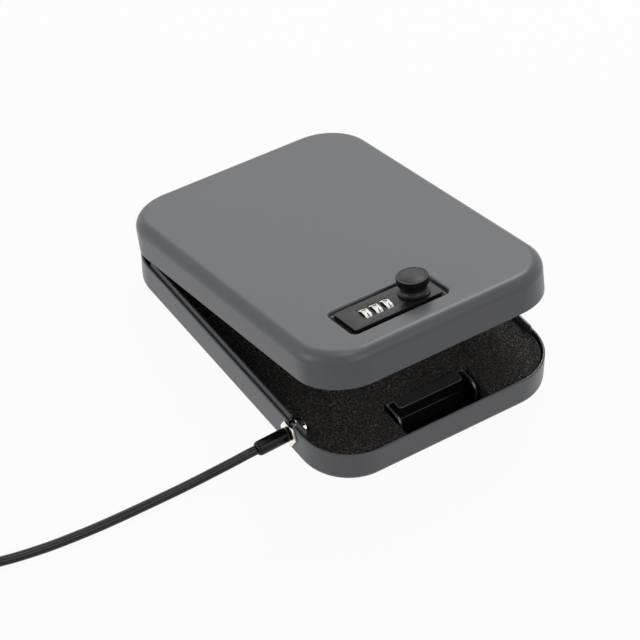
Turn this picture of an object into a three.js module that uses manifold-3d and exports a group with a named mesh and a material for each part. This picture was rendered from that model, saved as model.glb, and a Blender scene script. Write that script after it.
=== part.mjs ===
// Portable car safe: a two-part steel case with a hinged lid, a three-wheel combination
// lock with a turning knob and a hooked latch, foam linings and a steel tether cable.
//
// Millimetres, +Z up. X runs across the case, the hinge is at +Y and the lock at -Y.
// The origin is the middle of the base's underside. The lid is modelled closed and
// then turned about the hinge to the angle that it stands open at.

import * as THREE from 'three';
import { mergeVertices } from 'three/addons/utils/BufferGeometryUtils.js';
import Module from 'manifold-3d';

// Gaps and cutting
const SEAT = 0.3;
const OVERRUN = 5;
const WELD = 0.0001;

// Facets
const CORNER_STEPS = 10;
const EDGE_STEPS = 5;
const ROUND_SIDES = 28;
const SMALL_SIDES = 12;

// Case
const CASE_WIDTH = 165;
const CASE_LENGTH = 238;
const CASE_CORNER = 31.5;
const SHEET = 1.2;
const BASE_HEIGHT = 20.6;
const BASE_EDGE = 4;
const BASE_RIM_BEND = 1;
const LIP_SETBACK = 2.1;
const LIP_HEIGHT = 3.7;
const LIP_END_ROUND = 2.4;
const LID_HEIGHT = 22.5;
const LID_EDGE = 7.6;
const LID_REAR_RELIEF = 1.7;
const LID_RELIEF_DEPTH = 5.5;
const OPEN_ANGLE = THREE.MathUtils.degToRad(11.9);

// Foam linings
const BASE_FOAM_BELOW_RIM = 1.6;
const BASE_FOAM_SIDE_GAP = 1;
const BASE_FOAM_CROWN = 1.1;
const LID_FOAM_THICKNESS = 5;
const LID_FOAM_FRONT = 53;
const LID_FOAM_REAR = 29;
const LID_FOAM_CORNER = 6;

// Hinges
const HINGE_FROM_REAR = 4.5;
const HINGE_BELOW_RIM = 3.6;
const HINGE_REAR_GAP = 0.1;
const HINGE_TO_CORNER = 2.7;
const HINGE_TO_HINGE = 15.4;
const HINGE_MIDDLE_KNUCKLE = 16;
const HINGE_PIN_RADIUS = 1.4;
const HINGE_PIN_HEAD = 0.9;
const HINGE_PIN_HEAD_RADIUS = 2.2;
const HINGE_LEAF = 1.2;
const BASE_LEAF_ABOVE_EDGE = 2;
const GOOSENECK_REACH = 7.2;
const GOOSENECK_TAB = 9;
const LID_LEAF_INSET = 3.3;
const LID_FLANGE = 15;

// Latch keeper, a bracket folded from sheet
const KEEPER_SHEET = 1.5;
const KEEPER_FROM_FRONT = 27.5;
const KEEPER_WIDTH = 54.4;
const KEEPER_BELOW_RIM = 0.4;
const KEEPER_SHELF_WIDTH = 44.6;
const KEEPER_SHELF_REACH = 8.3;
const KEEPER_SHELF_ROUND = 2;
const KEEPER_EAR_DROP = 0.8;
const KEEPER_EAR_REACH = 16.4;
const KEEPER_EAR_ROUND = 7.5;
const KEEPER_FOOT_REACH = 14;
const KEEPER_FOAM_GAP = 2.1;

// Lock pocket and face plate
const LOCK_X = -17.4;
const LOCK_FROM_FRONT = 32.5;
const POCKET_WIDTH = 68.5;
const POCKET_DEPTH_Y = 31.2;
const POCKET_CORNER = 5;
const POCKET_SINK = 3;
const POCKET_SLOPE = 2.4;
const POCKET_STEPS = 6;
const PLATE_WIDTH = 59.2;
const PLATE_DEPTH_Y = 24.2;
const PLATE_CORNER = 1.4;
const PLATE_BELOW_TOP = 0.5;
const PLATE_SKIN = 0.6;

// Number wheels
const WHEEL_COUNT = 3;
const WHEEL_DIGITS = 10;
const WHEEL_MIDDLE_X = -25.2;
const WHEEL_BEHIND_KNOB = 0.6;
const WHEEL_PITCH = 7.45;
const WHEEL_WIDTH = 5.2;
const WHEEL_RADIUS = 7.5;
const WHEEL_PROUD = 1.2;
const WHEEL_GROOVE = 0.45;
const WHEEL_GROOVE_SHARE = 0.12;
const WINDOW_LENGTH = 10.5;
const WINDOW_SIDE_GAP = 0.35;
const AXLE_RADIUS = 2;
const AXLE_END = 4.6;
const GATE_DISC_RADIUS = 5.5;
const GATE_DISC_WIDTH = 1.4;
const GATE_WIDTH = 2;
const GATE_DEPTH = 1.7;

// Lock housing, detent spring and fence
const HOUSING_SCREW_WALL = 0.6;
const HOUSING_CORNER = 2.5;
const HOUSING_FLOOR = 1.2;
const WHEEL_ROOM = 0.5;
const WHEEL_ROOM_UNDER = 0.4;
const WHEEL_ROOM_FRONT = 1.8;
const WHEEL_ROOM_REAR = 1.2;
const SPRING_THICKNESS = 0.4;
const SPRING_STRIP = 2.6;
const SPRING_FINGER_WIDTH = 3.4;
const SPRING_FINGER_HEIGHT = 6;
const SPRING_TIP = 0.9;
const FENCE_THICKNESS = 1.3;
const FENCE_HEIGHT = 1.8;
const FENCE_TOOTH_REACH = 8;
const FENCE_TOOTH_WIDTH = 1.2;

// Knob, spindle and spiral cam
const KNOB_SKIRT_RADIUS = 9.4;
const KNOB_SKIRT_HEIGHT = 0.8;
const KNOB_NECK_RADIUS = 7.2;
const KNOB_NECK_TOP = 6.1;
const KNOB_CAP_RADIUS = 9.2;
const KNOB_CAP_HEIGHT = 3.8;
const KNOB_CAP_BEVEL = 0.5;
const SPINDLE_RADIUS = 3;
const SPINDLE_IN_KNOB = 5;
const SPINDLE_SQUARE = 3.6;
const SPINDLE_THREAD_RADIUS = 1.3;
const SPINDLE_THREAD_DEPTH = 6;
const CAM_THICKNESS = 1.6;
const CAM_RIM = 1.6;
const CAM_BELOW_HOUSING = 0.4;
const CAM_STEPS = 18;
const LATCH_TRAVEL = 6;
const LATCH_PIN_NEAR = 5.5;
const LATCH_PIN_RADIUS = 1.3;
const QUARTER_TURN = Math.PI / 2;

// Latch slide and its carrier
const LATCH_SHEET = 1.5;
const LATCH_WIDTH = 18;
const LATCH_TAIL = 7.5;
const LATCH_TONGUE = 8;
const LATCH_TONGUE_SLOPE = 0.7;
const LATCH_SHELF_GAP = 0.4;
const LATCH_CLEAR_OF_SHELF = 1.2;
const CARRIER_SHEET = 1.2;
const CARRIER_RAIL = 2;
const CARRIER_RISER_WIDTH = 29.5;
const CARRIER_DEPTH_Y = 25;
const CARRIER_RIGHT = 14;

// Screws
const SCREW_RADIUS = 1.25;
const SCREW_HEAD_RADIUS = 2.3;
const SCREW_HEAD = 1.2;
const SCREW_FROM_END = 3.5;
const SCREW_FROM_SIDE = 4;
const SCREW_BLIND = 6;
const SCREW_IN_PLATE = 1;
const CAM_SCREW_RADIUS = 1;
const CAM_SCREW_LENGTH = 5;

// Cable gland in the left wall
const GLAND_FROM_FRONT = 44.5;
const GLAND_BELOW_RIM = 6.9;
const GLAND_FLATS = 14;
const GLAND_FLANGE = 1.6;
const GLAND_CHAMFER = 0.5;
const STUD_RADIUS = 3;
const WASHER_RADIUS = 5.4;
const WASHER_THICKNESS = 1.9;
const NUT_RADIUS = 7.2;
const NUT_THICKNESS = 4.4;
const NUT_CHAMFER = 0.8;

// Cable, boot, coil and end loop
const CABLE_DIAMETER = 5.7;
const CABLE_SIDES = 12;
const BOOT_RADIUS = 4.5;
const BOOT_LENGTH = 20.6;
const BOOT_SHOULDER = 3;
const BOOT_DROOP = THREE.MathUtils.degToRad(3);
const CABLE_POINTS = [
  [-106.2, -74.5, 12.5],
  [-112, -74.4, 12.1],
  [-118, -73.9, 10.9],
  [-129, -72.8, 8.8],
  [-140, -71.4, 6.4],
  [-152, -70.2, 4.4],
  [-165, -69.4, 3.2],
  [-176, -69.2, 2.9],
  [-190, -69.2, 2.9],
  [-205, -68.9, 2.9],
  [-220, -68.1, 2.9],
  [-235, -66.8, 2.9],
  [-248, -64.9, 2.9],
  [-258, -63.1, 3],
  [-269, -61, 3.9],
  [-281, -58.7, 6],
  [-293, -56.4, 8.1],
];
const CABLE_SPAN_STEPS = 34;
const COIL_X = -301.9;
const COIL_Y = -16.1;
const COIL_RADIUS = 37.8;
const COIL_PITCH = 6.4;
const COIL_FLOOR_Z = 2.9;
const COIL_ENTRY = THREE.MathUtils.degToRad(259);
const COIL_INWARD_TURNS = 2;
const COIL_REVERSAL_TURNS = 0.5;
const COIL_LEAVES_AT = Math.PI;
const COIL_STEPS_PER_TURN = 24;
const COIL_SIDES = 6;
const COIL_GAP_POINTS = 8;
const COIL_TAIL = 32;
const COIL_TAIL_LEVEL = 8;
const CRIMP_LENGTH = 18;
const CRIMP_WALL = 1.2;
const CRIMP_CHAMFER = 0.8;
const EYE_HALF_WIDTH = 23;
const EYE_LENGTH = 78;
const EYE_STEPS = 36;
const EYE_SIDES = 8;
const EYE_SETTLES_SHARE = 0.25;

// Sizes worked out from the ones above
const HALF_WIDTH = CASE_WIDTH / 2;
const HALF_LENGTH = CASE_LENGTH / 2;
const STRAIGHT_SIDE = HALF_LENGTH - CASE_CORNER;
const LID_TOP = BASE_HEIGHT + LID_HEIGHT;
const LID_RIM = BASE_HEIGHT + SEAT;
const LID_INSIDE = LID_TOP - SHEET;
const HINGE_Y = HALF_LENGTH - HINGE_FROM_REAR;
const HINGE_Z = BASE_HEIGHT - HINGE_BELOW_RIM;
const KNUCKLE_RADIUS = HINGE_FROM_REAR - SHEET - SEAT - HINGE_REAR_GAP;
const HINGE_HALF_LENGTH = (HALF_WIDTH - CASE_CORNER - HINGE_TO_CORNER - HINGE_TO_HINGE / 2) / 2;
const HINGE_OFFSET = HINGE_TO_HINGE / 2 + HINGE_HALF_LENGTH;
const HINGE_END_KNUCKLE = HINGE_HALF_LENGTH - SEAT - HINGE_MIDDLE_KNUCKLE / 2;
const LID_LEAF_WIDTH = 2 * (HINGE_HALF_LENGTH - LID_LEAF_INSET);
const BASE_FOAM_TOP = BASE_HEIGHT - BASE_FOAM_BELOW_RIM;
const KEEPER_Y = KEEPER_FROM_FRONT - HALF_LENGTH;
const KEEPER_TOP = BASE_HEIGHT - KEEPER_BELOW_RIM;
const LOCK_Y = LOCK_FROM_FRONT - HALF_LENGTH;
const POCKET_FLOOR = LID_TOP - POCKET_SINK;
const PLATE_TOP = LID_TOP - PLATE_BELOW_TOP;
const PLATE_BOTTOM = POCKET_FLOOR + SEAT;
const WHEEL_Y = LOCK_Y + WHEEL_BEHIND_KNOB;
const WHEEL_Z = PLATE_TOP + WHEEL_PROUD - WHEEL_RADIUS;
const HOUSING_TOP = POCKET_FLOOR - SHEET - SEAT;
const WHEEL_ROOM_FLOOR = WHEEL_Z - WHEEL_RADIUS - WHEEL_ROOM_UNDER;
const HOUSING_BOTTOM = WHEEL_ROOM_FLOOR - HOUSING_FLOOR;
const WHEEL_ROOM_REACH = WHEEL_RADIUS + Math.max(
  WHEEL_ROOM_FRONT - WHEEL_BEHIND_KNOB, WHEEL_ROOM_REAR + WHEEL_BEHIND_KNOB);
const CARRIER_SCREW_REACH = WHEEL_ROOM_REACH + HOUSING_SCREW_WALL + SEAT + SCREW_RADIUS;
const SCREW_RECESS = SCREW_HEAD_RADIUS + SEAT;
const HOUSING_DEPTH_Y = 2 * (CARRIER_SCREW_REACH + SCREW_RECESS + HOUSING_SCREW_WALL);
const CAM_TOP = HOUSING_BOTTOM - CAM_BELOW_HOUSING;
const CAM_BOTTOM = CAM_TOP - CAM_THICKNESS;
const LATCH_TOP = CAM_BOTTOM - SEAT;
const LATCH_BOTTOM = LATCH_TOP - LATCH_SHEET;
const CARRIER_TOP = LATCH_BOTTOM - SEAT;
const CARRIER_BOTTOM = CARRIER_TOP - CARRIER_SHEET;
const LATCH_PIN_FAR = LATCH_PIN_NEAR + LATCH_TRAVEL;
const CAM_RADIUS = LATCH_PIN_FAR + LATCH_PIN_RADIUS + SEAT + CAM_RIM;
const SHELF_FRONT = KEEPER_Y + KEEPER_SHEET - KEEPER_SHELF_REACH;
const TONGUE_TIP = SHELF_FRONT - LATCH_CLEAR_OF_SHELF;
const LATCH_FRONT = TONGUE_TIP - LATCH_TONGUE;
const GLAND_Y = GLAND_FROM_FRONT - HALF_LENGTH;
const GLAND_HEIGHT = BASE_HEIGHT - GLAND_BELOW_RIM;
const CABLE_RADIUS = CABLE_DIAMETER / 2;
const COIL_UPPER_Z = COIL_FLOOR_Z + COIL_PITCH;
const CRIMP_Z = CABLE_RADIUS + CRIMP_WALL + (COIL_FLOOR_Z - CABLE_RADIUS);
const CRIMP_SPACING = COIL_PITCH;

const wasm = await Module();
wasm.setup();

// Solids

/** A solid with its faces pointing out, from any closed geometry. */
function solid(geometry) {
  const bare = geometry.clone();
  bare.deleteAttribute('normal');
  bare.deleteAttribute('uv');
  const merged = mergeVertices(bare, WELD);
  const at = merged.attributes.position;
  const corners = merged.index.array;
  const faces = [];
  let volume = 0;
  for (let i = 0; i < corners.length; i += 3) {
    const [a, b, c] = corners.slice(i, i + 3);
    if (a === b || b === c || c === a) continue;
    faces.push(a, b, c);
    const [p, q, r] = [a, b, c].map((index) => new THREE.Vector3().fromBufferAttribute(at, index));
    volume += p.dot(q.cross(r));
  }
  if (volume < 0) faces.reverse();
  return new wasm.Manifold(new wasm.Mesh({
    numProp: 3,
    vertProperties: Float32Array.from(at.array),
    triVerts: Uint32Array.from(faces),
  }));
}

/** The geometry of a solid, for a mesh. */
function geometryOf(body) {
  const { vertProperties, triVerts } = body.getMesh();
  const geometry = new THREE.BufferGeometry();
  geometry.setAttribute('position', new THREE.BufferAttribute(vertProperties, 3));
  geometry.setIndex(new THREE.BufferAttribute(triVerts, 1));
  geometry.computeVertexNormals();
  return geometry;
}

const join = (first, ...others) => others.reduce((body, other) => body.add(other), first);
const cut = (first, ...tools) => tools.reduce((body, tool) => body.subtract(tool), first);

/** A box between two limits along each axis. */
function block([x0, x1], [y0, y1], [z0, z1]) {
  const box = new THREE.BoxGeometry(x1 - x0, y1 - y0, z1 - z0);
  return solid(box.translate((x0 + x1) / 2, (y0 + y1) / 2, (z0 + z1) / 2));
}

/** The corners of a rectangle with round corners, centred on zero. */
function roundedOutline(halfX, halfY, radius, steps = CORNER_STEPS) {
  const points = [];
  for (let corner = 0; corner < 4; corner += 1) {
    const centreX = (corner % 3 === 0 ? 1 : -1) * (halfX - radius);
    const centreY = (corner < 2 ? 1 : -1) * (halfY - radius);
    for (let i = 0; i <= steps; i += 1) {
      const angle = (corner + i / steps) * QUARTER_TURN;
      points.push(new THREE.Vector2(centreX + radius * Math.cos(angle), centreY + radius * Math.sin(angle)));
    }
  }
  return points;
}

/** A solid through a stack of convex outlines with equally many points. */
function loft(rings) {
  const vertices = rings.flatMap(({ points, height }) => points.flatMap(({ x, y }) => [x, y, height]));
  const count = rings[0].points.length;
  const last = count * (rings.length - 1);
  const faces = [];
  for (let base = 0; base < last; base += count) {
    for (let i = 0; i < count; i += 1) {
      const [a, b] = [base + i, base + (i + 1) % count];
      faces.push(a, b, b + count, a, b + count, a + count);
    }
  }
  for (let i = 1; i + 1 < count; i += 1) {
    faces.push(0, i + 1, i, last, last + i, last + i + 1);
  }
  const geometry = new THREE.BufferGeometry();
  geometry.setAttribute('position', new THREE.Float32BufferAttribute(vertices, 3));
  geometry.setIndex(faces);
  return solid(geometry);
}

const extrusion = (shape, depth, curveSegments = SMALL_SIDES) => (
  new THREE.ExtrudeGeometry(shape, { depth, bevelEnabled: false, curveSegments }));

/** A shape drawn in x and y, raised from z0 to z1. */
const prism = (shape, [z0, z1]) => solid(extrusion(shape, z1 - z0).translate(0, 0, z0));

/** A shape drawn in y and z, drawn out from x0 to x1. */
function prismAlongX(shape, [x0, x1]) {
  const turn = new THREE.Matrix4().makeBasis(
    new THREE.Vector3(0, 1, 0), new THREE.Vector3(0, 0, 1), new THREE.Vector3(1, 0, 0));
  return solid(extrusion(shape, x1 - x0).applyMatrix4(turn).translate(x0, 0, 0));
}

/** A shape drawn in x and z, drawn out from y0 to y1. */
function prismAlongY(shape, [y0, y1]) {
  return solid(extrusion(shape, y1 - y0).rotateX(QUARTER_TURN).translate(0, y1, 0));
}

/** A profile of [radius, height] pairs revolved about the z axis. */
function turned(profile, sides = ROUND_SIDES) {
  const points = profile.map(([radius, height]) => new THREE.Vector2(radius, height));
  return new THREE.LatheGeometry(points, sides).rotateX(QUARTER_TURN);
}

/** An upright round bar of [radius, height] steps at x, y. */
const post = (profile, [x, y], sides = SMALL_SIDES) => solid(turned(profile, sides).translate(x, y, 0));

/** A profile of [radius, x] pairs revolved about a line along x. */
const alongX = (profile, [y, z], sides = ROUND_SIDES) => (
  solid(turned(profile, sides).rotateY(QUARTER_TURN).translate(0, y, z)));

const bar = (radius, [start, end]) => [[0, start], [radius, start], [radius, end], [0, end]];
const polygon = (points) => new THREE.Shape(points.map(([x, y]) => new THREE.Vector2(x, y)));

// Case

/** The case's outline drawn in from its outer face. */
const caseRing = (inset, height) => ({
  points: roundedOutline(HALF_WIDTH - inset, HALF_LENGTH - inset, CASE_CORNER - inset),
  height,
});

/** Rings round a quarter circle, from a flat face at `from` to an upright wall. */
function edgeRings(radius, inset, from, direction) {
  const rings = [];
  for (let i = 0; i <= EDGE_STEPS; i += 1) {
    const angle = (i / EDGE_STEPS) * QUARTER_TURN;
    rings.push(caseRing(
      inset + radius * (1 - Math.sin(angle)), from + direction * radius * (1 - Math.cos(angle))));
  }
  return rings;
}

function makeBaseShell() {
  const rim = edgeRings(BASE_RIM_BEND, 0, BASE_HEIGHT, -1).reverse();
  const outside = loft([...edgeRings(BASE_EDGE, 0, 0, 1), ...rim]);
  const inside = loft([
    ...edgeRings(BASE_EDGE - SHEET, SHEET, SHEET, 1), caseRing(SHEET, BASE_HEIGHT + OVERRUN)]);
  const lipOutside = HALF_WIDTH - LIP_SETBACK;
  const lipInside = lipOutside - SHEET;
  const lipTop = BASE_HEIGHT + LIP_HEIGHT;
  const ledge = [BASE_HEIGHT - SHEET, BASE_HEIGHT];
  const lip = new THREE.Shape();
  lip.moveTo(-STRAIGHT_SIDE, ledge[0]);
  lip.lineTo(STRAIGHT_SIDE, ledge[0]);
  lip.lineTo(STRAIGHT_SIDE, lipTop - LIP_END_ROUND);
  lip.absarc(STRAIGHT_SIDE - LIP_END_ROUND, lipTop - LIP_END_ROUND, LIP_END_ROUND, 0, QUARTER_TURN);
  lip.absarc(LIP_END_ROUND - STRAIGHT_SIDE, lipTop - LIP_END_ROUND, LIP_END_ROUND, QUARTER_TURN, Math.PI);
  let shell = cut(outside, inside);
  for (const side of [-1, 1]) {
    const across = (from, to) => (side < 0 ? [-to, -from] : [from, to]);
    shell = join(
      shell,
      prismAlongX(lip, across(lipInside, lipOutside)),
      block(across(lipInside, HALF_WIDTH - SHEET / 2), [-STRAIGHT_SIDE, STRAIGHT_SIDE], ledge));
  }
  const notchRadius = STUD_RADIUS + SEAT;
  const notch = new THREE.Shape();
  notch.moveTo(GLAND_Y - notchRadius, lipTop + OVERRUN);
  notch.lineTo(GLAND_Y - notchRadius, GLAND_HEIGHT);
  notch.absarc(GLAND_Y, GLAND_HEIGHT, notchRadius, Math.PI, 2 * Math.PI);
  notch.lineTo(GLAND_Y + notchRadius, lipTop + OVERRUN);
  return cut(shell, prismAlongX(notch, [-HALF_WIDTH - OVERRUN, -lipInside + OVERRUN]));
}

/** The pressed pocket's outline, as a soft slope from `grow` outside its opening. */
function pocketRings(grow) {
  const rings = [];
  for (let i = 0; i <= POCKET_STEPS; i += 1) {
    const share = i / POCKET_STEPS;
    const inset = POCKET_SLOPE * share - grow;
    const points = roundedOutline(
      POCKET_WIDTH / 2 - inset, POCKET_DEPTH_Y / 2 - inset, POCKET_CORNER - inset, EDGE_STEPS);
    points.forEach((point) => point.add(new THREE.Vector2(LOCK_X, LOCK_Y)));
    rings.unshift({
      points,
      height: LID_TOP - grow - POCKET_SINK * (1 - Math.cos(Math.PI * share)) / 2,
    });
  }
  const { points } = rings[rings.length - 1];
  return [...rings, { points, height: LID_TOP + OVERRUN }];
}

const wheelX = (index) => WHEEL_MIDDLE_X + (index - (WHEEL_COUNT - 1) / 2) * WHEEL_PITCH;
const wheelRoomX = () => [
  wheelX(0) - WHEEL_WIDTH / 2 - WHEEL_ROOM,
  wheelX(WHEEL_COUNT - 1) + WHEEL_WIDTH / 2 + 2 * SEAT + GATE_DISC_WIDTH + WHEEL_ROOM,
];
const chordAt = (height) => Math.sqrt(WHEEL_RADIUS ** 2 - (height - WHEEL_Z) ** 2);

function makeLidShell() {
  const outside = loft([caseRing(0, LID_RIM), ...edgeRings(LID_EDGE, 0, LID_TOP, -1).reverse()]);
  const inside = loft([
    caseRing(SHEET, LID_RIM - OVERRUN),
    ...edgeRings(LID_EDGE - SHEET, SHEET, LID_INSIDE, -1).reverse()]);
  const wheelSlot = chordAt(POCKET_FLOOR - SHEET) + WHEEL_ROOM;
  const through = [HOUSING_TOP, LID_TOP];
  return cut(
    outside,
    cut(inside, loft(pocketRings(SHEET))),
    loft(pocketRings(0)),
    block(wheelRoomX(), [WHEEL_Y - wheelSlot, WHEEL_Y + wheelSlot], through),
    post(bar(SPINDLE_RADIUS + SEAT, through), [0, LOCK_Y], ROUND_SIDES),
    ...plateScrewPlaces().map((place) => post(bar(SCREW_RADIUS + SEAT, through), place)),
    block(
      [-HALF_WIDTH, HALF_WIDTH],
      [HALF_LENGTH - LID_RELIEF_DEPTH, HALF_LENGTH + OVERRUN],
      [LID_RIM - OVERRUN, BASE_HEIGHT + LID_REAR_RELIEF]));
}

function makeBaseFoam() {
  const inset = SHEET + BASE_FOAM_SIDE_GAP;
  const rings = [
    caseRing(BASE_EDGE + SEAT, SHEET + SEAT),
    caseRing(inset, BASE_EDGE),
    ...edgeRings(BASE_FOAM_CROWN, inset, BASE_FOAM_TOP, -1).reverse()];
  const tall = [-OVERRUN, BASE_FOAM_TOP + OVERRUN];
  const keeperSide = KEEPER_WIDTH / 2 + KEEPER_FOAM_GAP;
  const hingeSide = HINGE_HALF_LENGTH + HINGE_PIN_HEAD + KEEPER_FOAM_GAP;
  const hingeFront = HINGE_Y - GOOSENECK_REACH - KEEPER_FOAM_GAP;
  const washerRoom = NUT_RADIUS + BASE_FOAM_SIDE_GAP;
  const glandInside = HALF_WIDTH - SHEET - 2 * SEAT - WASHER_THICKNESS - NUT_THICKNESS - BASE_FOAM_SIDE_GAP;
  return cut(
    loft(rings),
    block([-keeperSide, keeperSide], [-HALF_LENGTH, KEEPER_Y + KEEPER_SHEET + SEAT], tall),
    ...[-1, 1].map((side) => block(
      [side * HINGE_OFFSET - hingeSide, side * HINGE_OFFSET + hingeSide], [hingeFront, HALF_LENGTH], tall)),
    block(
      [-HALF_WIDTH, -glandInside], [GLAND_Y - washerRoom, GLAND_Y + washerRoom],
      [GLAND_HEIGHT - washerRoom, BASE_FOAM_TOP + OVERRUN]));
}

function makeLidFoam() {
  const halfX = HALF_WIDTH - LID_EDGE - SEAT;
  const [front, rear] = [LID_FOAM_FRONT - HALF_LENGTH, HALF_LENGTH - LID_FOAM_REAR];
  const points = roundedOutline(halfX, (rear - front) / 2, LID_FOAM_CORNER, EDGE_STEPS);
  points.forEach((point) => point.add(new THREE.Vector2(0, (front + rear) / 2)));
  const top = LID_INSIDE - SEAT;
  return prism(new THREE.Shape(points), [top - LID_FOAM_THICKNESS, top]);
}

// Latch keeper

function makeKeeper() {
  const half = KEEPER_WIDTH / 2;
  const floor = SHEET + SEAT;
  const web = block([-half, half], [KEEPER_Y, KEEPER_Y + KEEPER_SHEET], [floor, KEEPER_TOP]);
  const shelf = new THREE.Shape(roundedOutline(
    KEEPER_SHELF_WIDTH / 2, KEEPER_SHELF_REACH, KEEPER_SHELF_ROUND, EDGE_STEPS));
  const shelfSolid = solid(extrusion(shelf, KEEPER_SHEET)
    .translate(0, KEEPER_Y + KEEPER_SHEET, KEEPER_TOP - KEEPER_SHEET));
  const behind = block(
    [-half, half], [KEEPER_Y + KEEPER_SHEET, KEEPER_Y + KEEPER_SHELF_REACH + 2 * OVERRUN], [0, LID_TOP]);
  const earTop = KEEPER_TOP - KEEPER_EAR_DROP;
  const earFront = KEEPER_Y + KEEPER_SHEET - KEEPER_EAR_REACH;
  const ear = new THREE.Shape();
  ear.moveTo(KEEPER_Y + KEEPER_SHEET, floor);
  ear.lineTo(KEEPER_Y + KEEPER_SHEET, earTop);
  ear.absarc(earFront + KEEPER_EAR_ROUND, earTop - KEEPER_EAR_ROUND, KEEPER_EAR_ROUND, QUARTER_TURN, Math.PI);
  ear.lineTo(earFront, floor);
  const footSide = half - KEEPER_SHEET - 2 * SEAT;
  return join(
    web,
    cut(shelfSolid, behind),
    prismAlongX(ear, [-half, KEEPER_SHEET - half]),
    prismAlongX(ear, [half - KEEPER_SHEET, half]),
    block([-footSide, footSide], [KEEPER_Y - KEEPER_FOOT_REACH, KEEPER_Y], [floor, floor + KEEPER_SHEET]));
}

// Hinges, each of two base knuckles, one lid knuckle and a pin

const ringProfile = (inner, outer, [start, end]) => [
  [inner, start], [outer, start], [outer, end], [inner, end], [inner, start]];
const pinBore = HINGE_PIN_RADIUS + SEAT;
const knuckle = ([start, end]) => alongX(
  ringProfile(pinBore, KNUCKLE_RADIUS, [start, end]), [HINGE_Y, HINGE_Z], SMALL_SIDES);

function makeBaseLeaf(x) {
  const rear = HALF_LENGTH - SHEET - SEAT;
  const [near, far] = [x - HINGE_HALF_LENGTH, x + HINGE_HALF_LENGTH];
  const ends = [[near, near + HINGE_END_KNUCKLE], [far - HINGE_END_KNUCKLE, far]];
  const middle = [near + HINGE_END_KNUCKLE, far - HINGE_END_KNUCKLE];
  const clearance = KNUCKLE_RADIUS + SEAT;
  const leaf = cut(
    block([near, far], [rear - HINGE_LEAF, rear], [BASE_EDGE + BASE_LEAF_ABOVE_EDGE, HINGE_Z]),
    block(middle, [HINGE_Y - clearance, HALF_LENGTH], [HINGE_Z - clearance, HINGE_Z + clearance]));
  const bore = alongX(bar(pinBore, [near - OVERRUN, far + OVERRUN]), [HINGE_Y, HINGE_Z], SMALL_SIDES);
  return cut(join(leaf, ...ends.map(knuckle)), bore);
}

function makeLidLeaf(x) {
  const half = HINGE_MIDDLE_KNUCKLE / 2;
  const span = [x - half, x + half];
  const bottom = HINGE_Z - KNUCKLE_RADIUS;
  const upright = [HINGE_Y - GOOSENECK_REACH, HINGE_Y - GOOSENECK_REACH + HINGE_LEAF];
  const top = LID_INSIDE - SEAT;
  const wide = [x - LID_LEAF_WIDTH / 2, x + LID_LEAF_WIDTH / 2];
  const bore = alongX(
    bar(pinBore, [span[0] - OVERRUN, span[1] + OVERRUN]), [HINGE_Y, HINGE_Z], SMALL_SIDES);
  return cut(
    join(
      knuckle(span),
      block(span, [upright[0], HINGE_Y], [bottom, bottom + HINGE_LEAF]),
      block(span, upright, [bottom, top]),
      block(wide, upright, [HINGE_Z + GOOSENECK_TAB, top]),
      block(wide, [upright[1] - LID_FLANGE, upright[1]], [top - HINGE_LEAF, top])),
    bore);
}

function makeHingePin(x) {
  const end = HINGE_HALF_LENGTH + SEAT;
  const head = end + HINGE_PIN_HEAD;
  const profile = [
    [0, x - head], [HINGE_PIN_HEAD_RADIUS, x - head], [HINGE_PIN_HEAD_RADIUS, x - end],
    [HINGE_PIN_RADIUS, x - end], [HINGE_PIN_RADIUS, x + end],
    [HINGE_PIN_HEAD_RADIUS, x + end], [HINGE_PIN_HEAD_RADIUS, x + head], [0, x + head]];
  return alongX(profile, [HINGE_Y, HINGE_Z], SMALL_SIDES);
}

// Lock: face plate, wheels, housing and fence

const plateScrewX = () => [
  LOCK_X - PLATE_WIDTH / 2 + SCREW_FROM_END, LOCK_X + PLATE_WIDTH / 2 - SCREW_FROM_END];
const plateScrewY = () => [-1, 1].map((side) => LOCK_Y + side * (PLATE_DEPTH_Y / 2 - SCREW_FROM_SIDE));
const plateScrewPlaces = () => plateScrewX().flatMap((x) => plateScrewY().map((y) => [x, y]));
const carrierRiserX = () => {
  const left = LOCK_X - PLATE_WIDTH / 2 + SEAT;
  return [left, left + CARRIER_RISER_WIDTH];
};
const carrierScrewPlaces = () => [-1, 1].map((side) => [
  carrierRiserX()[1] - SCREW_RECESS - HOUSING_SCREW_WALL, LOCK_Y + side * CARRIER_SCREW_REACH]);

/** A flat block with round upright corners, centred on the lock. */
function lockBlock(width, depth, corner, span) {
  const points = roundedOutline(width / 2, depth / 2, corner, EDGE_STEPS);
  points.forEach((point) => point.add(new THREE.Vector2(LOCK_X, LOCK_Y)));
  return prism(new THREE.Shape(points), span);
}

function makeLockPlate() {
  const skin = PLATE_TOP - PLATE_SKIN;
  const room = chordAt(PLATE_BOTTOM) + WHEEL_ROOM;
  const window = WHEEL_WIDTH / 2 + WINDOW_SIDE_GAP;
  const windows = Array.from({ length: WHEEL_COUNT }, (_, index) => block(
    [wheelX(index) - window, wheelX(index) + window],
    [WHEEL_Y - WINDOW_LENGTH / 2, WHEEL_Y + WINDOW_LENGTH / 2], [PLATE_BOTTOM, LID_TOP]));
  return cut(
    lockBlock(PLATE_WIDTH, PLATE_DEPTH_Y, PLATE_CORNER, [PLATE_BOTTOM, PLATE_TOP]),
    block(wheelRoomX(), [WHEEL_Y - room, WHEEL_Y + room], [PLATE_BOTTOM - OVERRUN, skin]),
    ...windows,
    post(bar(SPINDLE_RADIUS + SEAT, [PLATE_BOTTOM - OVERRUN, LID_TOP]), [0, LOCK_Y], ROUND_SIDES),
    ...plateScrewPlaces().map((place) => post(
      bar(SCREW_RADIUS + SEAT, [PLATE_BOTTOM - OVERRUN, PLATE_BOTTOM + SCREW_IN_PLATE + SEAT]), place)));
}

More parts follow.
